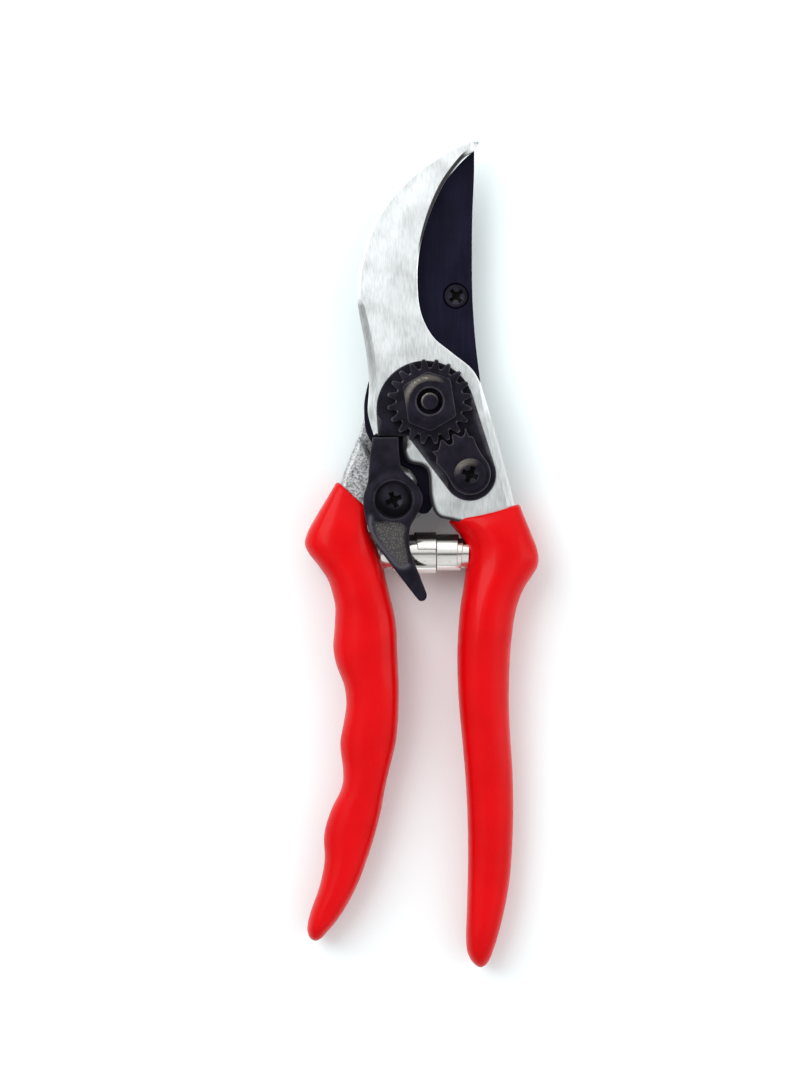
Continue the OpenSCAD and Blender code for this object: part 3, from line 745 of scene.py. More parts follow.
def blade_shell():
    """Flat-topped blade whose underside rises to a thin edge over the ground bevel, with the
    countersink of its screw and a fine round along the back."""
    rings = [outline(BLADE_EDGE, BLADE_BACK, width=0.22),
             outline(circle((0, 0), 5.2, 0.1), width=0.1, clockwise=True)]
    edge_line = curve(BLADE_EDGE)

    def bottom(p, gap, wide):
        near, along = to_line(p, edge_line)
        reach = BEVEL_REACH * np.sqrt(np.sin(np.pi * np.clip(along, 0.02, 0.98)))
        return CARRIER_TOP + 0.02 + 2.75 * np.clip(1 - near / reach, 0, 1)

    def top(p, gap, wide):
        seat = 1.7 * (1 - step_up(away(p, BLADE_SCREW), 2.98, 3.14))
        return BLADE_TOP - rounded(gap, wide) * 0.9 - seat

    sink = [circle(BLADE_SCREW, r)[:, :2] for r in (2.6, 2.96, 3.02, 3.08, 3.16, 3.4)]
    points, faces, edge = slab(rings, top, bottom, ROUND, 1.3, sink)
    # Painted shade: the ring round the screw's seat is marked edge, which the coating paints near black
    seat = (1 - step_up(away(points, BLADE_SCREW), 3.08, 3.2)) * (points[:, 2] > 8)
    edge = np.maximum(edge, seat)
    return points, faces, edge


# ---- Carrier arm ----

CARRIER = [
    (7, 32.3), (9.5, 29), (9.4, 20), (10.6, 10), (12.6, 2), (11.2, -6.8), (6.3, -11.8), (2, -15.3),
    (0.9, -20), (0.6, -24.3), (-1, -26.9), (-5, -29.4), (-10.5, -31.2), (-16.2, -33), (-24, -33),
    (-22.5, -24.6), (-21.7, -19.1), (-18.6, -11), (-16.7, -5.6), (-15.9, -1), (-15.3, 4),
    (-11.8, 9.4), (-5.8, 14), (0, 20.5), (3.2, 26.6), (4.4, 30.8), (7, 32.3),
]
NECK = [
    (-17.5, -8.5), (-18.6, -11), (-21.7, -19.1), (-22.5, -24.6), (-23.6, -32.4), (-16.4, -32.6),
    (-10.5, -31), (-6.3, -29.2), (-3.7, -26), (-3.3, -20.8), (-4.6, -17.2), (-9, -16.4),
    (-13, -14.6), (-15.9, -10.4), (-17.5, -8.5),
]


def carrier_shell():
    """Cast arm: a flat part under the blade and a full-height neck, both with soft moulded edges and
    a slow unevenness of two crossed waves."""

    def top(p, gap, wide):
        x, y = p.T
        waves = np.sin(1.1 * x + 0.6 * y) * np.sin(0.8 * y - 0.5 * x + 1)
        return BOSS_TOP - 0.05 - rounded(gap, wide) + 0.05 * waves

    hole = outline(circle((0, 0), 5.25, 0.2), width=0.2, clockwise=True)
    flat = slab([outline(CARRIER, width=0.5, step=0.6), hole], face(CARRIER_TOP),
                face(CARRIER_LOW, up=False), ROUND, 2)
    neck = slab([outline(NECK, width=1.3, step=0.4)], top, face(NECK_LOW, 0.5, up=False), ROUND, 0.8)
    return joined(flat, neck)


# ---- Backing plate, nut and segment ----

BACKING = [(-12.7, -8.3), (-6, -8.3), (-4.8, -9.2)]
TOOTH = [(-0.5, 0), (-0.36, 0), (-0.24, 0.45), (-0.17, 0.8), (-0.1, 1), (0.1, 1), (0.17, 0.8),
         (0.24, 0.45), (0.36, 0), (0.5, 0)]
# The nut's six flats: the way each faces in degrees, and how far it lies from the axis
FLATS = np.array([(9, 5.85), (72, 6.85), (120, 6.65), (188, 5.95), (249, 6.8), (301, 6.45)])


def rim(angle, low, high, first=TOOTH_TURN):
    """Radius of a toothed rim at an angle: the tooth's form, repeated every pitch."""
    pitch = 2 * math.pi / TEETH
    share = ((angle - first) / pitch + 0.5) % 1 - 0.5
    form = np.array(TOOTH)
    return low + (high - low) * np.interp(share, form[:, 0], form[:, 1])


def hexagon(angle):
    """Radius of the rounded hexagon at an angle: one over the 30-norm of its six facing cosines,
    each over the distance of its flat."""
    cosine = np.maximum(np.cos(angle[:, None] - np.radians(FLATS[:, 0])), 0) / FLATS[:, 1]
    return 1 / (cosine ** 30).sum(axis=1) ** (1 / 30)


def nut_shell(tooth_round):
    """One skin round the nut's axis, from the bore's floor over the chamfered hexagon, down its
    flats, out over the toothed flange and back underneath."""
    around = TEETH * 30
    a = np.linspace(0, 2 * math.pi, around, endpoint=False)
    hexa, teeth = hexagon(a), rim(a, NUT_ROOT_R, NUT_TIP_R)
    flat_r, slope = 4.95, 0.78
    low = NUT_FLANGE_TOP - 2.3

    def cone(r):
        return NUT_TOP - slope * np.maximum(r - flat_r, 0)

    rows = [(1.0, NUT_TOP - 3.2), (3.15, NUT_TOP - 3.2), (3.2, NUT_TOP - 3.1), (3.2, NUT_TOP - 0.2),
            (3.25, NUT_TOP - 0.06), (3.4, NUT_TOP), (3.8, NUT_TOP), (4.6, NUT_TOP),
            (flat_r - 0.1, NUT_TOP), (flat_r + 0.05, NUT_TOP - 0.03)]
    rows += [(r, cone(r)) for r in (flat_r + (hexa - flat_r) * s for s in (0.3, 0.6, 0.85, 0.95))]
    rows += [(hexa - 0.03, cone(hexa) - 0.05), (hexa, cone(hexa) - 0.2), (hexa, cone(hexa) - 0.9),
             (hexa, NUT_FLANGE_TOP + 0.35), (hexa + 0.1, NUT_FLANGE_TOP + 0.1),
             (hexa + 0.35, NUT_FLANGE_TOP)]
    inner = np.maximum(hexa + 0.4, 7.9)
    rows += [(inner, NUT_FLANGE_TOP), (np.minimum(teeth - 0.45, 8.6), NUT_FLANGE_TOP - 0.02)]
    rows += [(8.2 + (teeth - tooth_round - 8.2) * s, NUT_FLANGE_TOP - 0.02 - 0.25 * s ** 2)
             for s in (0.5, 0.9)]
    rows += [(teeth - tooth_round * (1 - math.sin(t)),
              NUT_FLANGE_TOP - 0.27 - tooth_round * (1 - math.cos(t)))
             for t in np.radians((0, 30, 60, 90))]
    rows += [(teeth, low + 0.2), (teeth - 0.2, low), (4, low), (1, low)]
    points, faces, _ = turned(rows, around)
    radius, height = away(points), points[:, 2]
    angle = np.arctan2(points[:, 1], points[:, 0])
    # Bare worn patches and painted highlight on the chamfer, placed mostly on the side towards the light
    to_light = np.clip(facing(points, 124) * 1.3 - 0.15, 0, 1)
    wear = (height > 18) * (radius > flat_r - 0.2) * (0.1 + 0.9 * to_light) * bell(radius, 5.8, 0.9)
    crest = bell(radius, rim(angle, NUT_ROOT_R, NUT_TIP_R) - tooth_round, 0.13)
    edge = np.maximum.reduce([crest * (height > 16.2) * (height < 18),
                              bell(radius, hexagon(angle), 0.14) * (height > 19) * 0.8,
                              bell(radius, 3.35, 0.12) * (height > 20.8) * 0.6])
    return (points, faces, edge), wear


def segment_shell():
    """Flat segment whose three teeth stand in the nut's gaps, with a fine round along its edge."""
    gap_r, tooth, edge_round = 11.7, 2.1, 0.16
    pitch = 2 * math.pi / TEETH
    start = TOOTH_TURN - 4.5 * pitch
    shares = np.linspace(-0.36, 2.04, 74)
    a = start + pitch * shares
    # The last tooth is much lower than the others
    radius = gap_r - rim(a, 0, tooth, start) * np.where(shares > 1.5, 0.35, 0.88)
    teeth = np.column_stack([radius * np.cos(a), radius * np.sin(a), np.full(len(a), edge_round)])
    corner = [(9.6, -8.4), (10.7, -8.8), (11.4, -10.4), (12.7, -12.8), (14.3, -15)]
    end = circle((9.9, -17.8), 5.1, edge_round, 0.35, 20, -150)
    rings = [outline(teeth, [teeth[-1, :2], corner[0]], corner, end,
                     [(5.5, -20.4), (3.9, -17.7), (1.6, -15.1)], [(1.6, -15.1), (1.7, -13.5)],
                     [(1.7, -13.5), (0.5, -12.2)], [(0.5, -12.2), (2, -11.95)],
                     width=edge_round, step=0.25)]
    return slab(rings, face(SEGMENT_TOP), face(BACKING_TOP + 0.01, 0.1, up=False), ROUND, 1.0)


def backing_shell():
    """Teardrop plate under the nut, with a rounded edge."""
    rings = [outline(circle((-1, -1.9), 12.1, 0.3, 0.4, 17, 186), BACKING,
                     circle((9.9, -17.8), 6.5, 0.3, 0.4, 213, 377), width=0.3)]
    return slab(rings, face(BACKING_TOP), face(BACKING_LOW + 0.01, 0, up=False), ROUND, 1.6)


# ---- Screws and bolt ----

def cross(x, y, turn, reach, wing):
    """Depth share of a cross recess: the largest of a round core and two bars at right angles, each
    with soft sides and a width that flares towards its ends."""
    c, s = math.cos(math.radians(turn)), math.sin(math.radians(turn))
    u, v = x * c + y * s, y * c - x * s

    def bar(a, b):
        half = wing * (0.82 + 0.38 * (np.abs(b) / reach) ** 2)
        return step_up(half - np.abs(a), -0.08, 0.08) * step_up(reach - np.abs(b), -0.08, 0.1)

    core = step_up(0.5 * reach - np.hypot(u, v), -0.08, 0.08)
    return np.maximum(core, np.maximum(bar(u, v), bar(v, u)))


def screw_head(centre, seat, top, radius, dome, reach, wing, depth, turn, edge_round=0.3, wall=0.0):
    """Round head worked out on a polar grid: a dome that falls by dome at its rim, a rounded rim, a
    side down to the seat, and a cross recess sunk into it. Also gives the painted highlight of worn
    patches and glints on its side towards the light, and the painted shade in its recess."""
    a = np.linspace(0, 2 * math.pi, 144, endpoint=False)
    radii = np.concatenate([np.linspace(0.05, reach + 0.25, 34),
                            np.linspace(reach + 0.35, radius - edge_round, 8)])[:, None]
    x, y = radii * np.cos(a), radii * np.sin(a)
    sunk = cross(x, y, turn, reach, wing) * depth * (1 - 0.35 * (radii / reach) ** 2)
    z = top - dome * (radii / radius) ** 2 - sunk
    rings = [np.stack([x, y, z], axis=-1)]
    rim_top = top - dome * ((radius - edge_round) / radius) ** 2
    for t in np.radians((25, 50, 70, 90)):
        r = radius - edge_round * (1 - math.sin(t))
        drop = edge_round * (1 - math.cos(t))
        rings.append(np.stack([r * np.cos(a), r * np.sin(a), rim_top - drop + 0 * a], axis=-1)[None])
    for r, h in ((radius - wall, seat + 0.05), (radius - wall - 0.05, seat)):
        rings.append(np.stack([r * np.cos(a), r * np.sin(a), h + 0 * a], axis=-1)[None])
    points, faces, _ = tube(np.concatenate(rings))
    far, height = away(points), points[:, 2] - seat
    lip = cross(points[:, 0], points[:, 1], turn, reach, wing)
    # Painted highlight along the recess's rims, strongest at the lower right
    low_right = np.clip(facing(points, -50), 0.15, 1)
    edge = bell(lip, 0.2, 0.2) * (far < reach + 0.2) * (height > 0.2) * low_right
    # Painted highlight: worn patches and glints on the side towards the light
    lit = np.clip(facing(points, 118), 0, 1)
    wear = lit * step_up(far, reach * 0.6, radius * 0.8) * (height > 0.3)
    # Painted shade: the recess is painted near black
    hollow = step_up(lip, 0.5, 0.95) * (far < reach + 0.1) * (height > 0.1)
    points += [*centre, 0]
    return (points, faces, edge), wear, hollow


def bolt_shell():
    """Pivot bolt: round head under the carrier, plain shank, thread end and a low domed tip."""
    return turned([
        (0.5, 0), (6.9, 0), (7.5, 0.12), (7.85, 0.45), (8, 0.9), (8, 2.2), (7.9, 2.5), (7.7, 2.6),
        (4.1, 2.6), (4.0, 2.7), (4.0, 13.8), (3, 13.9), (3, 17.4), (2.9, 17.5), (2.3, 17.5),
        (2.25, 17.6), (2.18, 20.3), (2.1, 20.5), (1.9, 20.64), (1.6, 20.72), (1.1, 20.80),
        (0.5, 20.84),
    ])


# ---- Grips ----

# Rows down a grip: left edge x, y, right edge x, y, lowest and highest level, squareness of the
# section on its left and right
LEFT_GRIP = [
    (-23.2, -20, -14.9, -27.6, 1, 16, 4.6, 4.6), (-24.7, -22.6, -14.9, -29.9, 0.7, 16.4, 4.2, 4.4),
    (-26.6, -25.7, -14.6, -31.9, 0.3, 16.8, 3.7, 4), (-28.5, -28.9, -13.9, -33.8, 0.1, 17, 3.2, 3.5),
    (-30.1, -31.9, -13, -36, 0, 17, 3, 3.2), (-30.85, -34.7, -12.2, -38, 0, 17, 2.8, 3.1),
    (-29.9, -37.2, -11.5, -40.2, 0, 17, 2.6, 3.1), (-27.4, -40.4, -11, -42.6, 0, 17, 2.5, 3.1),
    (-25.1, -43.9, -10.4, -45.2, 0, 17, 2.4, 3.1), (-23.9, -47.6, -9.7, -48.2, 0, 17, 2.4, 3.1),
    (-23.3, -51, -8.9, -51.3, 0, 16.95, 2.4, 3.1), (-23.5, -56, -8.2, -56, 0, 16.8, 2.4, 3.1),
    (-23.8, -60.5, -8, -60.5, 0, 16.6, 2.4, 3.1), (-23, -65, -7.8, -65, 0, 16.3, 2.4, 3.1),
    (-21.1, -70, -7.6, -70, 0, 16, 2.4, 3.1), (-20.6, -74.7, -7.6, -74.7, 0, 15.6, 2.4, 3.1),
    (-21.2, -79, -7.8, -79, 0, 15.2, 2.4, 3.1), (-22.1, -84.5, -8.4, -84.5, 0, 14.8, 2.4, 3.1),
    (-21.4, -91, -10, -91, 0, 14.3, 2.4, 3.1), (-21.8, -95.5, -11, -95.5, 0, 14, 2.4, 3.1),
    (-24.4, -101, -12, -101, 0, 13.6, 2.4, 3.1), (-26.1, -107, -13.5, -107, 0, 13.2, 2.4, 3.1),
    (-26, -113.5, -15.6, -113.5, 0, 12.9, 2.4, 3), (-27.3, -120, -18.1, -120, 0, 12.7, 2.4, 2.9),
    (-29.4, -126, -21, -125.4, 0.2, 12.4, 2.4, 2.7), (-30.25, -129.6, -23.4, -128.9, 0.7, 11.9, 2.3, 2.5),
    (-30.1, -131.6, -25.2, -131, 1.7, 10.9, 2.2, 2.3), (-29.5, -132.8, -26.5, -132.5, 3.1, 9.5, 2.1, 2.1),
    (-28.6, -133.35, -27.6, -133.25, 4.9, 7.6, 2, 2),
]
RIGHT_GRIP = [
    (4.9, -29.7, 22.5, -25.8, 0.6, 16.3, 2, 5), (6.3, -31.3, 23.6, -28.6, 0.2, 16.8, 1.9, 4.4),
    (7.9, -33.3, 25, -32, 0, 17, 1.9, 3.9), (8.9, -35.6, 26.3, -35.2, 0, 17, 1.9, 3.5),
    (9.2, -38, 27, -38.2, 0, 17, 2, 3.2), (9.05, -40.4, 26.7, -40.6, 0, 17, 2.1, 2.8),
    (8.75, -43, 25.3, -43, 0, 17, 2.2, 2.6), (8.3, -46.3, 23.2, -46.3, 0, 17, 2.3, 2.5),
    (7.6, -51, 21.5, -51, 0, 16.95, 2.4, 2.5), (7.1, -57, 20.5, -57, 0, 16.8, 2.5, 2.5),
    (6.9, -64, 19.9, -64, 0, 16.4, 2.6, 2.5), (7.2, -73, 19.7, -73, 0, 15.8, 2.6, 2.5),
    (8, -82, 20, -82, 0, 15, 2.6, 2.5), (8.8, -91, 20.6, -91, 0, 14.3, 2.6, 2.5),
    (9.4, -101, 20.8, -101, 0, 13.6, 2.6, 2.5), (9.6, -111, 20.5, -111, 0, 13, 2.6, 2.5),
    (9.5, -119, 19.8, -119, 0, 12.75, 2.6, 2.5), (9.3, -126, 18.5, -126.2, 0.1, 12.5, 2.6, 2.5),
    (9.1, -132, 16.8, -132.8, 0.4, 12.2, 2.5, 2.5), (9.3, -135.5, 15.6, -136.4, 1.1, 11.4, 2.4, 2.4),
    (10, -137.6, 14.8, -138.3, 2.2, 10.2, 2.2, 2.2), (10.9, -138.9, 14, -139.4, 3.6, 8.8, 2.1, 2.1),
    (12, -139.8, 13.1, -139.95, 5.1, 7.2, 2, 2),
]


def grip_shell(rows, lip, sag, shoulder):
    """Skin through sections that lean with the mouth. A section is a rounded box, cosine and sine
    raised to 2 over its squareness, and the mouth ends in a quarter-round lip and a flat. Near the
    mouth a flank 3 mm wide along the left edge lies lower than the rest."""
    rows = curve(np.array(rows), parts=6)
    a = (np.arange(72) + 0.5) * 2 * math.pi / 72
    c, s = np.cos(a), np.sin(a)
    left, right, low, high = rows[:, 0:2], rows[:, 2:4], rows[:, 4], rows[:, 5]
    middle, half = (left + right) / 2, (right - left) / 2
    level, rise = (low + high) / 2, (high - low) / 2
    down = np.arange(len(rows))[:, None]
    power = 2 / np.where(c[None] >= 0, rows[:, 7:8], rows[:, 6:7])
    across = np.sign(c) * np.abs(c) ** power
    up = np.sign(s) * np.abs(s) ** power
    # The mouth dips in its middle, and the dip fades over the first rows
    dip = sag * np.exp(-down / 9) * (1 - across ** 2)
    x, y = middle[:, :1] + half[:, :1] * across, middle[:, 1:] + half[:, 1:] * across - dip
    rings = np.stack([x, y, level[:, None] + rise[:, None] * up], axis=-1)
    ahead = np.array([-half[0, 1], half[0, 0]])
    ahead /= np.linalg.norm(ahead)
    mouth = rings[0]
    centre = np.array([*middle[0], level[0]])
    wide = np.linalg.norm(half[0])
    rolled = []
    for t in np.radians((90, 68, 45, 22)):
        shrink = lip * (1 - math.cos(t))
        scale = np.array([1 - shrink / wide, 1 - shrink / wide, 1 - shrink / rise[0]])
        ring = centre + (mouth - centre) * scale
        ring[:, :2] += ahead * lip * math.sin(t)
        rolled.append(ring)
    inner = centre + (rolled[0] - centre) * [0.82, 0.82, 0.82]
    flank = (1 - step_up(x - left[:, :1], 2.5, 3.7)) * (up > 0)
    rings[:, :, 2] -= shoulder * flank * np.exp(-down / 22) * step_up(down, 0, 6)
    return tube(np.concatenate([[inner], rolled, rings]))


# ---- Thumb catch ----

CATCH_TOP_EDGE = [(-14, -8.8, 0.5), (-7.7, -8.7, 0.5)]
CATCH_RIGHT = [
    (-7.7, -8.7, 0.5), (-7.5, -13.1, 0.6), (-6.6, -16.8, 0.7), (-3.3, -20.2, 0.7), (-1.7, -23.8, 0.7),
    (-3, -27.6, 0.9), (-4.8, -31, 1.2), (-4.9, -35.6, 1.2), (-3.6, -39.8, 0.9), (-2.4, -42.7, 0.7),
    (-0.7, -47.2, 0.5),
]
CATCH_LEFT = [
    (-0.7, -47.2, 0.5), (-0.75, -48.1, 0.5), (-1.3, -48.8, 0.5), (-2.1, -48.95, 0.5), (-3, -48.4, 0.5),
    (-7.1, -43.2, 0.5), (-8.5, -41.3, 0.5), (-11.9, -36.7, 0.5),
    (-15.3, -30.2, 0.5), (-16.3, -23.9, 0.5), (-15.2, -19.7, 0.5), (-14.7, -14, 0.5),
    (-14, -8.8, 0.5),
]
RIDGE = [(-14.5, -28.4), (-14.5, -30.6), (-13.6, -33.2), (-10.5, -37.2), (-8, -40.2), (-6.4, -40.7),
         (-5.3, -40.2)]
PAD = [(-13.9, -29.4), (-6.5, -29.8), (-6.2, -33.5), (-5.3, -38.2), (-5.5, -40.0), (-7.6, -40.2),
       (-10.2, -37.2), (-13.0, -33.2), (-13.9, -29.4)]


def catch_shell():
    """Lever with a seat for its screw, a shallow dish round it, a sunk pebbled pad beside a smooth
    ridge, and a tip that thins and slopes down. Also gives the shares of the pad and the ridge."""
    rings = [outline(CATCH_TOP_EDGE, CATCH_RIGHT, CATCH_LEFT, step=0.35),
             outline(circle(CATCH_SCREW, 3.05, 0.1), width=0.1, clockwise=True)]
    pad_ring = outline(PAD, width=0.1, step=0.4)
    ridge_line = curve(RIDGE)

    def pad_share(p):
        gap, _ = to_edge(p, [pad_ring])
        return step_up(np.where(inside(p, pad_ring), gap, -gap), -0.15, 0.35)

    def ridge_share(p):
        return bell(to_line(p, ridge_line)[0], 0, 0.5)

    def top(p, gap, wide):
        out, down = away(p, CATCH_SCREW), -p[:, 1]
        nose = 0.35 * step_up(-down, -14, -9.2)
        dish = 0.32 * bell(out, 7.0, 0.9) * step_up(down, 12, 16) - 0.22 * bell(out, 5.6, 0.6)
        tail = 0.9 * step_up(down, 29.5, 40) + 2.0 * step_up(down, 38.5, 50)
        height = CATCH_TOP - 0.3 - nose - dish + 0.3 * ridge_share(p) - 0.75 * pad_share(p) - tail
        height -= (out > 3.6) * rounded(gap, wide)
        return np.where(out < SEAT_R, HEAD_FLOOR, np.minimum(height, CATCH_TOP))

    def bottom(p, gap, wide):
        return CATCH_LOW + np.where(p[:, 1] < -30, rounded(gap, 0.4), rounded(gap, 0.15))

    seat = [circle(CATCH_SCREW, r)[:, :2] for r in (4.55, 4.66, 4.8, 5.2, 5.6, 6.1)]
    pads = [pad_ring[:, :2], spaced(ridge_line, 0.3)]
    points, faces, edge = slab(rings, top, bottom, ROUND, 0.55, seat + pads)
    out = away(points, CATCH_SCREW)
    # Painted highlight: the rubbed edge is kept strong along the top, and a faint ring is painted round
    # the seat
    edge *= (out >= 3.6) * np.where(points[:, 1] > -12, 0.9, 0.45)
    edge = np.maximum(edge, 0.35 * bell(out, 4.75, 0.1) * (points[:, 2] > 17.5))
    upper = points[:, 2] > CATCH_LOW + 0.6
    return (points, faces, edge), pad_share(points) * upper, ridge_share(points) * upper


# ---- Volute spring ----

STRIP_T = 0.42
# Along each half from its small end: turn, outer radius, near side and far side of the strip
LEFT_STRIP = [(0, 3.5, -12.6, -8.0), (1, 4.15, -10.6, -5.4), (1.8, 4.6, -7.6, -2.4),
              (2.0, 4.75, -6.9, 1.2), (2.2, 4.85, -6.0, 1.7), (3.15, 5.4, -2.9, 1.7)]
RIGHT_STRIP = [(0, 3.5, 9.9, 6.6), (0.8, 3.8, 9.0, 4.4), (1.0, 3.95, 8.3, 2.1), (1.2, 4.1, 7.9, 1.75),
               (2.2, 5.15, 6.8, 1.75)]


def strip_shell(rows, phase):
    """Strip wound into a cone: its centre runs round the spring's axis, its radius and its two sides
    follow the turn, and its section is a thin box with rounded edges. Also gives each point's turn
    as a share of the whole."""
    rows = np.array(rows, float)
    turn = np.linspace(rows[0, 0], rows[-1, 0], int(72 * (rows[-1, 0] - rows[0, 0])) + 1)
    radius, near, far = (np.interp(turn, rows[:, 0], rows[:, k])[:, None] for k in (1, 2, 3))
    # Section: share across the strip, inset along it and depth below its outer face
    form = np.array([(0, 0.0, 0.12), (0, 0.12, 0.0), (1, -0.12, 0.0), (1, 0.0, 0.12),
                     (1, 0.0, STRIP_T - 0.05), (1, -0.05, STRIP_T), (0, 0.05, STRIP_T),
                     (0, 0.0, STRIP_T - 0.05)])
    side = np.sign(far - near)
    x = near + (far - near) * form[:, 0] + side * form[:, 1]
    r = radius - form[:, 2]
    a = (turn * 2 * math.pi + phase)[:, None]
    rings = np.stack([x, SPRING_Y + r * np.cos(a), SPRING_Z + r * np.sin(a)], axis=-1)
    points, faces, edge = tube(rings)
    share = np.append(np.repeat(turn / turn[-1], len(form)), [0, 1])
    # The sides and underside are marked edge, which the finish paints dark grey as painted shade
    edge[:-2] = np.tile((form[:, 2] > 0.05) * 1.0, len(turn))
    return (points, faces, edge), share


# ---- Operators, one for each piece or group of like pieces ----

def settings():
    scene = bpy.context.scene
    return scene.shears_finish, scene.shears_sizes, scene.shears_stage


class SHEARS_OT_hook(bpy.types.Operator):
    """Build the ground hook plate"""
    bl_idname = "shears.hook"
    bl_label = "Hook plate"

    def execute(self, context):
        looks, sizes, _ = settings()
        shell, bevel, scale = hook_plate_shell()
        finish = finish_of(steel_finish, looks, sizes.grind)
        piece("hook_plate", "hook_side", "hook_steel", finish, shell, ["hook_arm"], crease=20,
              bevel=bevel, scale=scale)
        return {"FINISHED"}


class SHEARS_OT_blade(bpy.types.Operator):
    """Build the coated cutting blade and the flush screw that holds it"""
    bl_idname = "shears.blade"
    bl_label = "Cutting blade"

    def execute(self, context):
        looks = settings()[0]
        shell = blade_shell()
        points = shell[0]
        near, _ = to_line(points, curve(BLADE_EDGE))
        level = points[:, 2]
        bare = (near < BEVEL_REACH - 0.1) * (level < BLADE_TOP - 0.4) * (level > CARRIER_TOP + 0.1)
        piece("blade", "blade_side", "coated_blade", finish_of(blade_finish, looks), shell,
              ["cutting_blade"], bare=bare)
        head, wear, hollow = screw_head(BLADE_SCREW, BLADE_TOP - 1.6, BLADE_TOP - 0.06, 2.86, 0.05,
                                        1.9, 0.42, 1.2, 40, 0.2, 0.9)
        piece("blade_screw_head", "blade_side", "black_oxide", finish_of(oxide_finish, looks), head,
              ["blade_screw"], wear=wear * 0.15, hollow=hollow)
        return {"FINISHED"}


class SHEARS_OT_carrier(bpy.types.Operator):
    """Build the cast carrier arm"""
    bl_idname = "shears.carrier"
    bl_label = "Carrier arm"

    def execute(self, context):
        piece("carrier", "blade_side", "cast_arm", finish_of(cast_finish, settings()[0]),
              carrier_shell(), ["carrier_arm"])
        return {"FINISHED"}


class SHEARS_OT_adjuster(bpy.types.Operator):
    """Build the backing plate, the toothed nut, its locking segment and its screw, and the bolt"""
    bl_idname = "shears.adjuster"
    bl_label = "Nut and segment"

    def execute(self, context):
        looks, sizes, _ = settings()
        oxide = finish_of(oxide_finish, looks)
        piece("teardrop_plate", "hook_side", "black_oxide", oxide, backing_shell(), ["backing_plate"])
        nut, wear = nut_shell(sizes.tooth_round)
        piece("nut", "hook_side", "black_oxide", oxide, nut, ["toothed_nut"], wear=wear)
        piece("segment", "hook_side", "black_oxide", oxide, segment_shell(), ["lock_segment"])
        head, wear, hollow = screw_head(SEGMENT_SCREW, SEGMENT_TOP, 19.4, 4.0, 1.15, 2.0, 0.5, 1.7,
                                        -23, 0.35)
        piece("segment_screw_head", "hook_side", "black_oxide", oxide, head, ["segment_screw"],
              wear=wear * 0.75, hollow=hollow)
        shell = bolt_shell()
        points = shell[0]
        # Wear and painted highlight round the tip's rim, stronger on the side towards the light
        wear = bell(away(points), 1.95, 0.35) * (points[:, 2] > 20) * (0.6 + 0.4 * facing(points, 125))
        piece("bolt", "hook_side", "black_oxide", oxide, shell, ["pivot_bolt"], wear=wear)
        return {"FINISHED"}


class SHEARS_OT_grips(bpy.types.Operator):
    """Build both dipped grips"""
    bl_idname = "shears.grips"
    bl_label = "Grips"

    def execute(self, context):
        looks, sizes, _ = settings()
        vinyl = finish_of(vinyl_finish, looks)
        for name, body, node, rows, sag, shoulder in (
                ("grooved_grip", "blade_side", "left_grip", LEFT_GRIP, 0.1, 0),
                ("smooth_grip", "hook_side", "right_grip", RIGHT_GRIP, 0.75, 0.8)):
            piece(name, body, "grip_vinyl", vinyl, grip_shell(rows, sizes.lip, sag, shoulder), [node],
                  crease=60)
        return {"FINISHED"}


class SHEARS_OT_catch(bpy.types.Operator):
    """Build the thumb catch and its screw"""
    bl_idname = "shears.catch"
    bl_label = "Thumb catch"

    def execute(self, context):
        looks, sizes, _ = settings()
        shell, pad, ridge = catch_shell()
        finish = finish_of(oxide_finish, looks, name="matt black lever", worn=0.8, pebble=sizes.pebble)
        piece("lever", "catch", "black_oxide", finish, shell, ["catch_lever"], pad=pad, ridge=ridge)
        head, wear, hollow = screw_head(CATCH_SCREW, HEAD_FLOOR + 0.05, 19.2, 4.1, 1.75, 1.95, 0.5,
                                        1.7, 22, 0.3)
        # Painted shade: the dome is painted darker towards its rim, most of all at the lower side
        dark = 0.85 * step_up(away(head[0], (CATCH_SCREW[0], CATCH_SCREW[1] + 0.9)), 2.2, 4)
        piece("catch_screw_head", "blade_side", "black_oxide", finish_of(oxide_finish, looks), head,
              ["catch_screw"], wear=wear * 0.25, hollow=np.maximum(hollow, dark))
        return {"FINISHED"}


class SHEARS_OT_spring(bpy.types.Operator):
    """Build the volute spring, which is attached to neither side; on the real shears its two halves draw
    out as the grips part
    """
    bl_idname = "shears.spring"
    bl_label = "Volute spring"

    def execute(self, context):
        finish = finish_of(spring_finish)
        left, left_share = strip_shell(LEFT_STRIP, 0.4)
        right, right_share = strip_shell(RIGHT_STRIP, 0.9)
        shell = joined(left, right)
        # Painted shade: the strip is painted near black where its turns face the plates
        off = shell[0][:, 1:] - (SPRING_Y, SPRING_Z)
        scale = step_up(off[:, 0] / np.linalg.norm(off, axis=1), 0.52, 0.66)
        obj = piece("strip_spring", "hook_side", "nickel_spring", finish, shell,
                    ["volute_spring"], rides=False, scale=scale)
        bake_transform(obj)
        # The share of each point along the two halves, which nothing here uses
        share = np.concatenate([1 - 0.5 * left_share, 0.5 * right_share])
        return {"FINISHED"}


class SHEARS_OT_small_parts(bpy.types.Operator):
    """Give the small inner parts of the frame their finishes"""
    bl_idname = "shears.small_parts"
    bl_label = "Inner parts"

    def execute(self, context):
        bronze = finish_of(turned_finish, "bearing bronze", (0.60, 0.42, 0.20), 0.3, 0.3)
        steel = finish_of(turned_finish, "turned steel", (0.60, 0.60, 0.62), 0.28, 0.25)
        for node, finish in (("thrust_washer", bronze), ("pivot_bush", bronze), ("catch_sleeve", bronze),
                             ("catch_washer", steel), ("right_spring_stud", steel),
                             ("left_spring_stud", steel)):
            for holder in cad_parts[node].material_slots:
                holder.material = finish
        return {"FINISHED"}


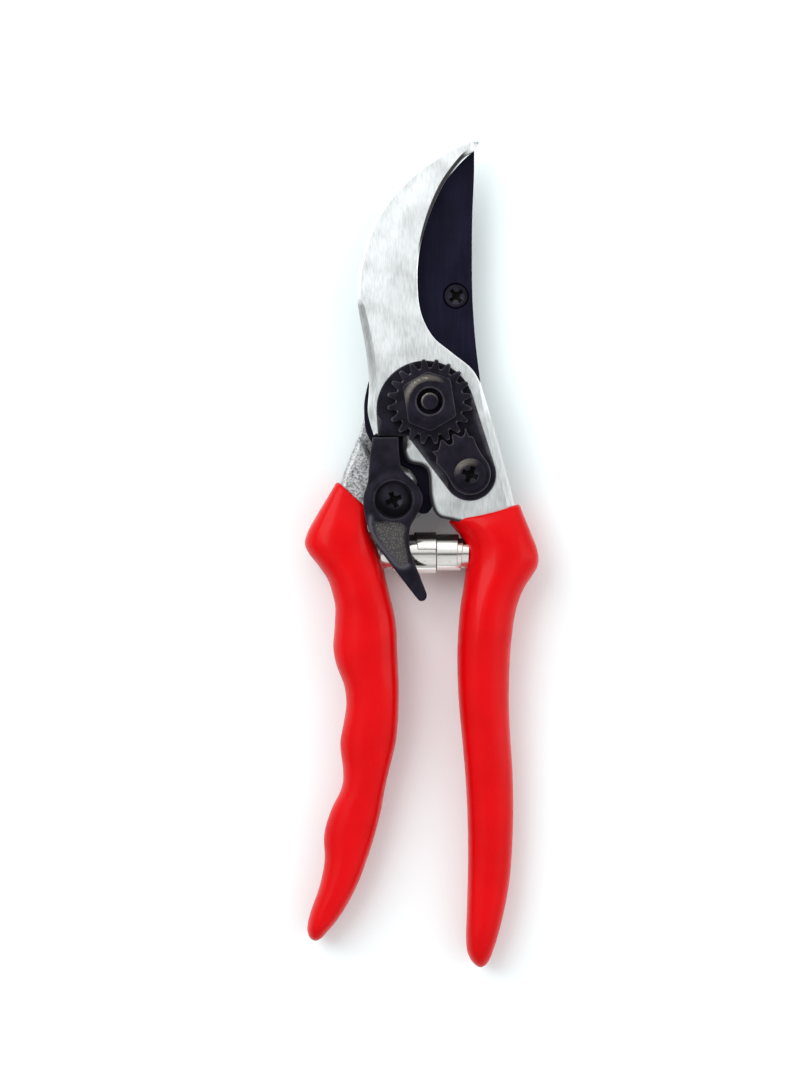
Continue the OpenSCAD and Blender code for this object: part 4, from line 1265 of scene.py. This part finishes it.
def area_light(name, place, aim, size, watts, colour=(1, 1, 1)):
    lamp = bpy.data.lights.new(name, "AREA")
    lamp.shape, lamp.size, lamp.size_y = "RECTANGLE", *size
    lamp.energy, lamp.color = watts, colour
    obj = bpy.data.objects.new(name, lamp)
    obj.location = place
    obj.rotation_euler = (Vector(aim) - Vector(place)).to_track_quat("-Z", "Y").to_euler()
    bpy.context.scene.collection.objects.link(obj)


class SHEARS_OT_stage(bpy.types.Operator):
    """Lay the pale floor and set up the soft light and the camera that looks straight down"""
    bl_idname = "shears.stage"
    bl_label = "Stage"

    def execute(self, context):
        scene, stage = context.scene, settings()[2]
        sides, radius = 96, 3
        a = np.linspace(0, 2 * math.pi, sides, endpoint=False)
        disc = np.stack([radius * np.cos(a), radius * np.sin(a), 0 * a - 0.0001], axis=-1)
        mesh = bpy.data.meshes.new("floor")
        mesh.from_pydata(disc.tolist(), [], [list(range(sides))])
        mesh.materials.append(floor_finish())
        floor = bpy.data.objects.new("floor", mesh)
        scene.collection.objects.link(floor)

        world = bpy.data.worlds.new("surroundings")
        world.use_nodes = True
        tree, back = world.node_tree, world.node_tree.nodes["Background"]
        back.inputs["Strength"].default_value = stage.sky
        # The surroundings by height: even at the horizon, brightest half-way up, with a small dark
        # place overhead. They lean brighter towards +Y and +X.
        place = add_node(tree, "ShaderNodeTexCoord")["Generated"]
        axes = add_node(tree, "ShaderNodeSeparateXYZ", {}, {"Vector": place})
        ramp = tree.nodes.new("ShaderNodeValToRGB")
        shades = ((0.0, 0.8), (0.25, 0.85), (0.6, 1.15), (0.88, 1.0), (0.985, 0.8), (1.0, 0.12))
        for at, _ in shades[2:]:
            ramp.color_ramp.elements.new(at)
        for element, (at, shade) in zip(ramp.color_ramp.elements, shades):
            element.position, element.color = at, (shade, shade, shade, 1)
        tree.links.new(axes["Z"], ramp.inputs["Fac"])
        lean = 0.98
        for axis, amount in (("Y", 0.3), ("X", 0.25)):
            lean = add_node(tree, "ShaderNodeMath", {"operation": "MULTIPLY_ADD"},
                            {0: axes[axis], 1: amount, 2: lean})[0]
        sky = add_node(tree, "ShaderNodeMix", {"data_type": "RGBA", "blend_type": "MULTIPLY"},
                       {0: 1, 6: ramp.outputs["Color"], 7: lean})
        tree.links.new(sky[2], back.inputs["Color"])
        scene.world = world
        middle = (-0.004, -0.035, 0.01)
        area_light("key", (-0.55, 0.35, 0.75), middle, (0.7, 0.9), stage.key)
        area_light("fill", (0.75, -0.05, 0.45), middle, (0.25, 1.1), stage.fill)
        scene.view_settings.view_transform = "Standard"

        camera = bpy.data.cameras.new("camera")
        camera.lens, camera.sensor_width, camera.clip_end = stage.lens, 36, 20
        holder = bpy.data.objects.new("camera", camera)
        holder.location = (-0.00728, -0.03235, stage.distance + 0.011)
        scene.collection.objects.link(holder)
        scene.camera = holder
        return {"FINISHED"}


class SHEARS_PT_panel(bpy.types.Panel):
    bl_idname = "SHEARS_PT_panel"
    bl_label = "Pruning Shears"
    bl_space_type = "VIEW_3D"
    bl_region_type = "UI"
    bl_category = "Shears"

    def draw(self, context):
        for group in settings():
            box = self.layout.box()
            for name in group.__annotations__:
                box.prop(group, name)
        for operator in OPERATORS:
            self.layout.operator(operator.bl_idname)


GROUPS = {"shears_finish": ShearsFinish, "shears_sizes": ShearsSizes, "shears_stage": ShearsStage}
OPERATORS = (SHEARS_OT_stage, SHEARS_OT_hook, SHEARS_OT_blade, SHEARS_OT_carrier, SHEARS_OT_adjuster,
             SHEARS_OT_grips, SHEARS_OT_catch, SHEARS_OT_spring, SHEARS_OT_small_parts)


def register():
    for cls in (*GROUPS.values(), *OPERATORS, SHEARS_PT_panel):
        bpy.utils.register_class(cls)
    for name, cls in GROUPS.items():
        setattr(bpy.types.Scene, name, bpy.props.PointerProperty(type=cls))


def unregister():
    for name in GROUPS:
        delattr(bpy.types.Scene, name)
    for cls in (SHEARS_PT_panel, *reversed(OPERATORS), *GROUPS.values()):
        bpy.utils.unregister_class(cls)


def main():
    register()
    for operator in OPERATORS:
        group, name = operator.bl_idname.split(".")
        if getattr(getattr(bpy.ops, group), name)() != {"FINISHED"}:
            raise RuntimeError(f"{operator.bl_label} wasn't finished")


if __name__ == "__main__":
    main()
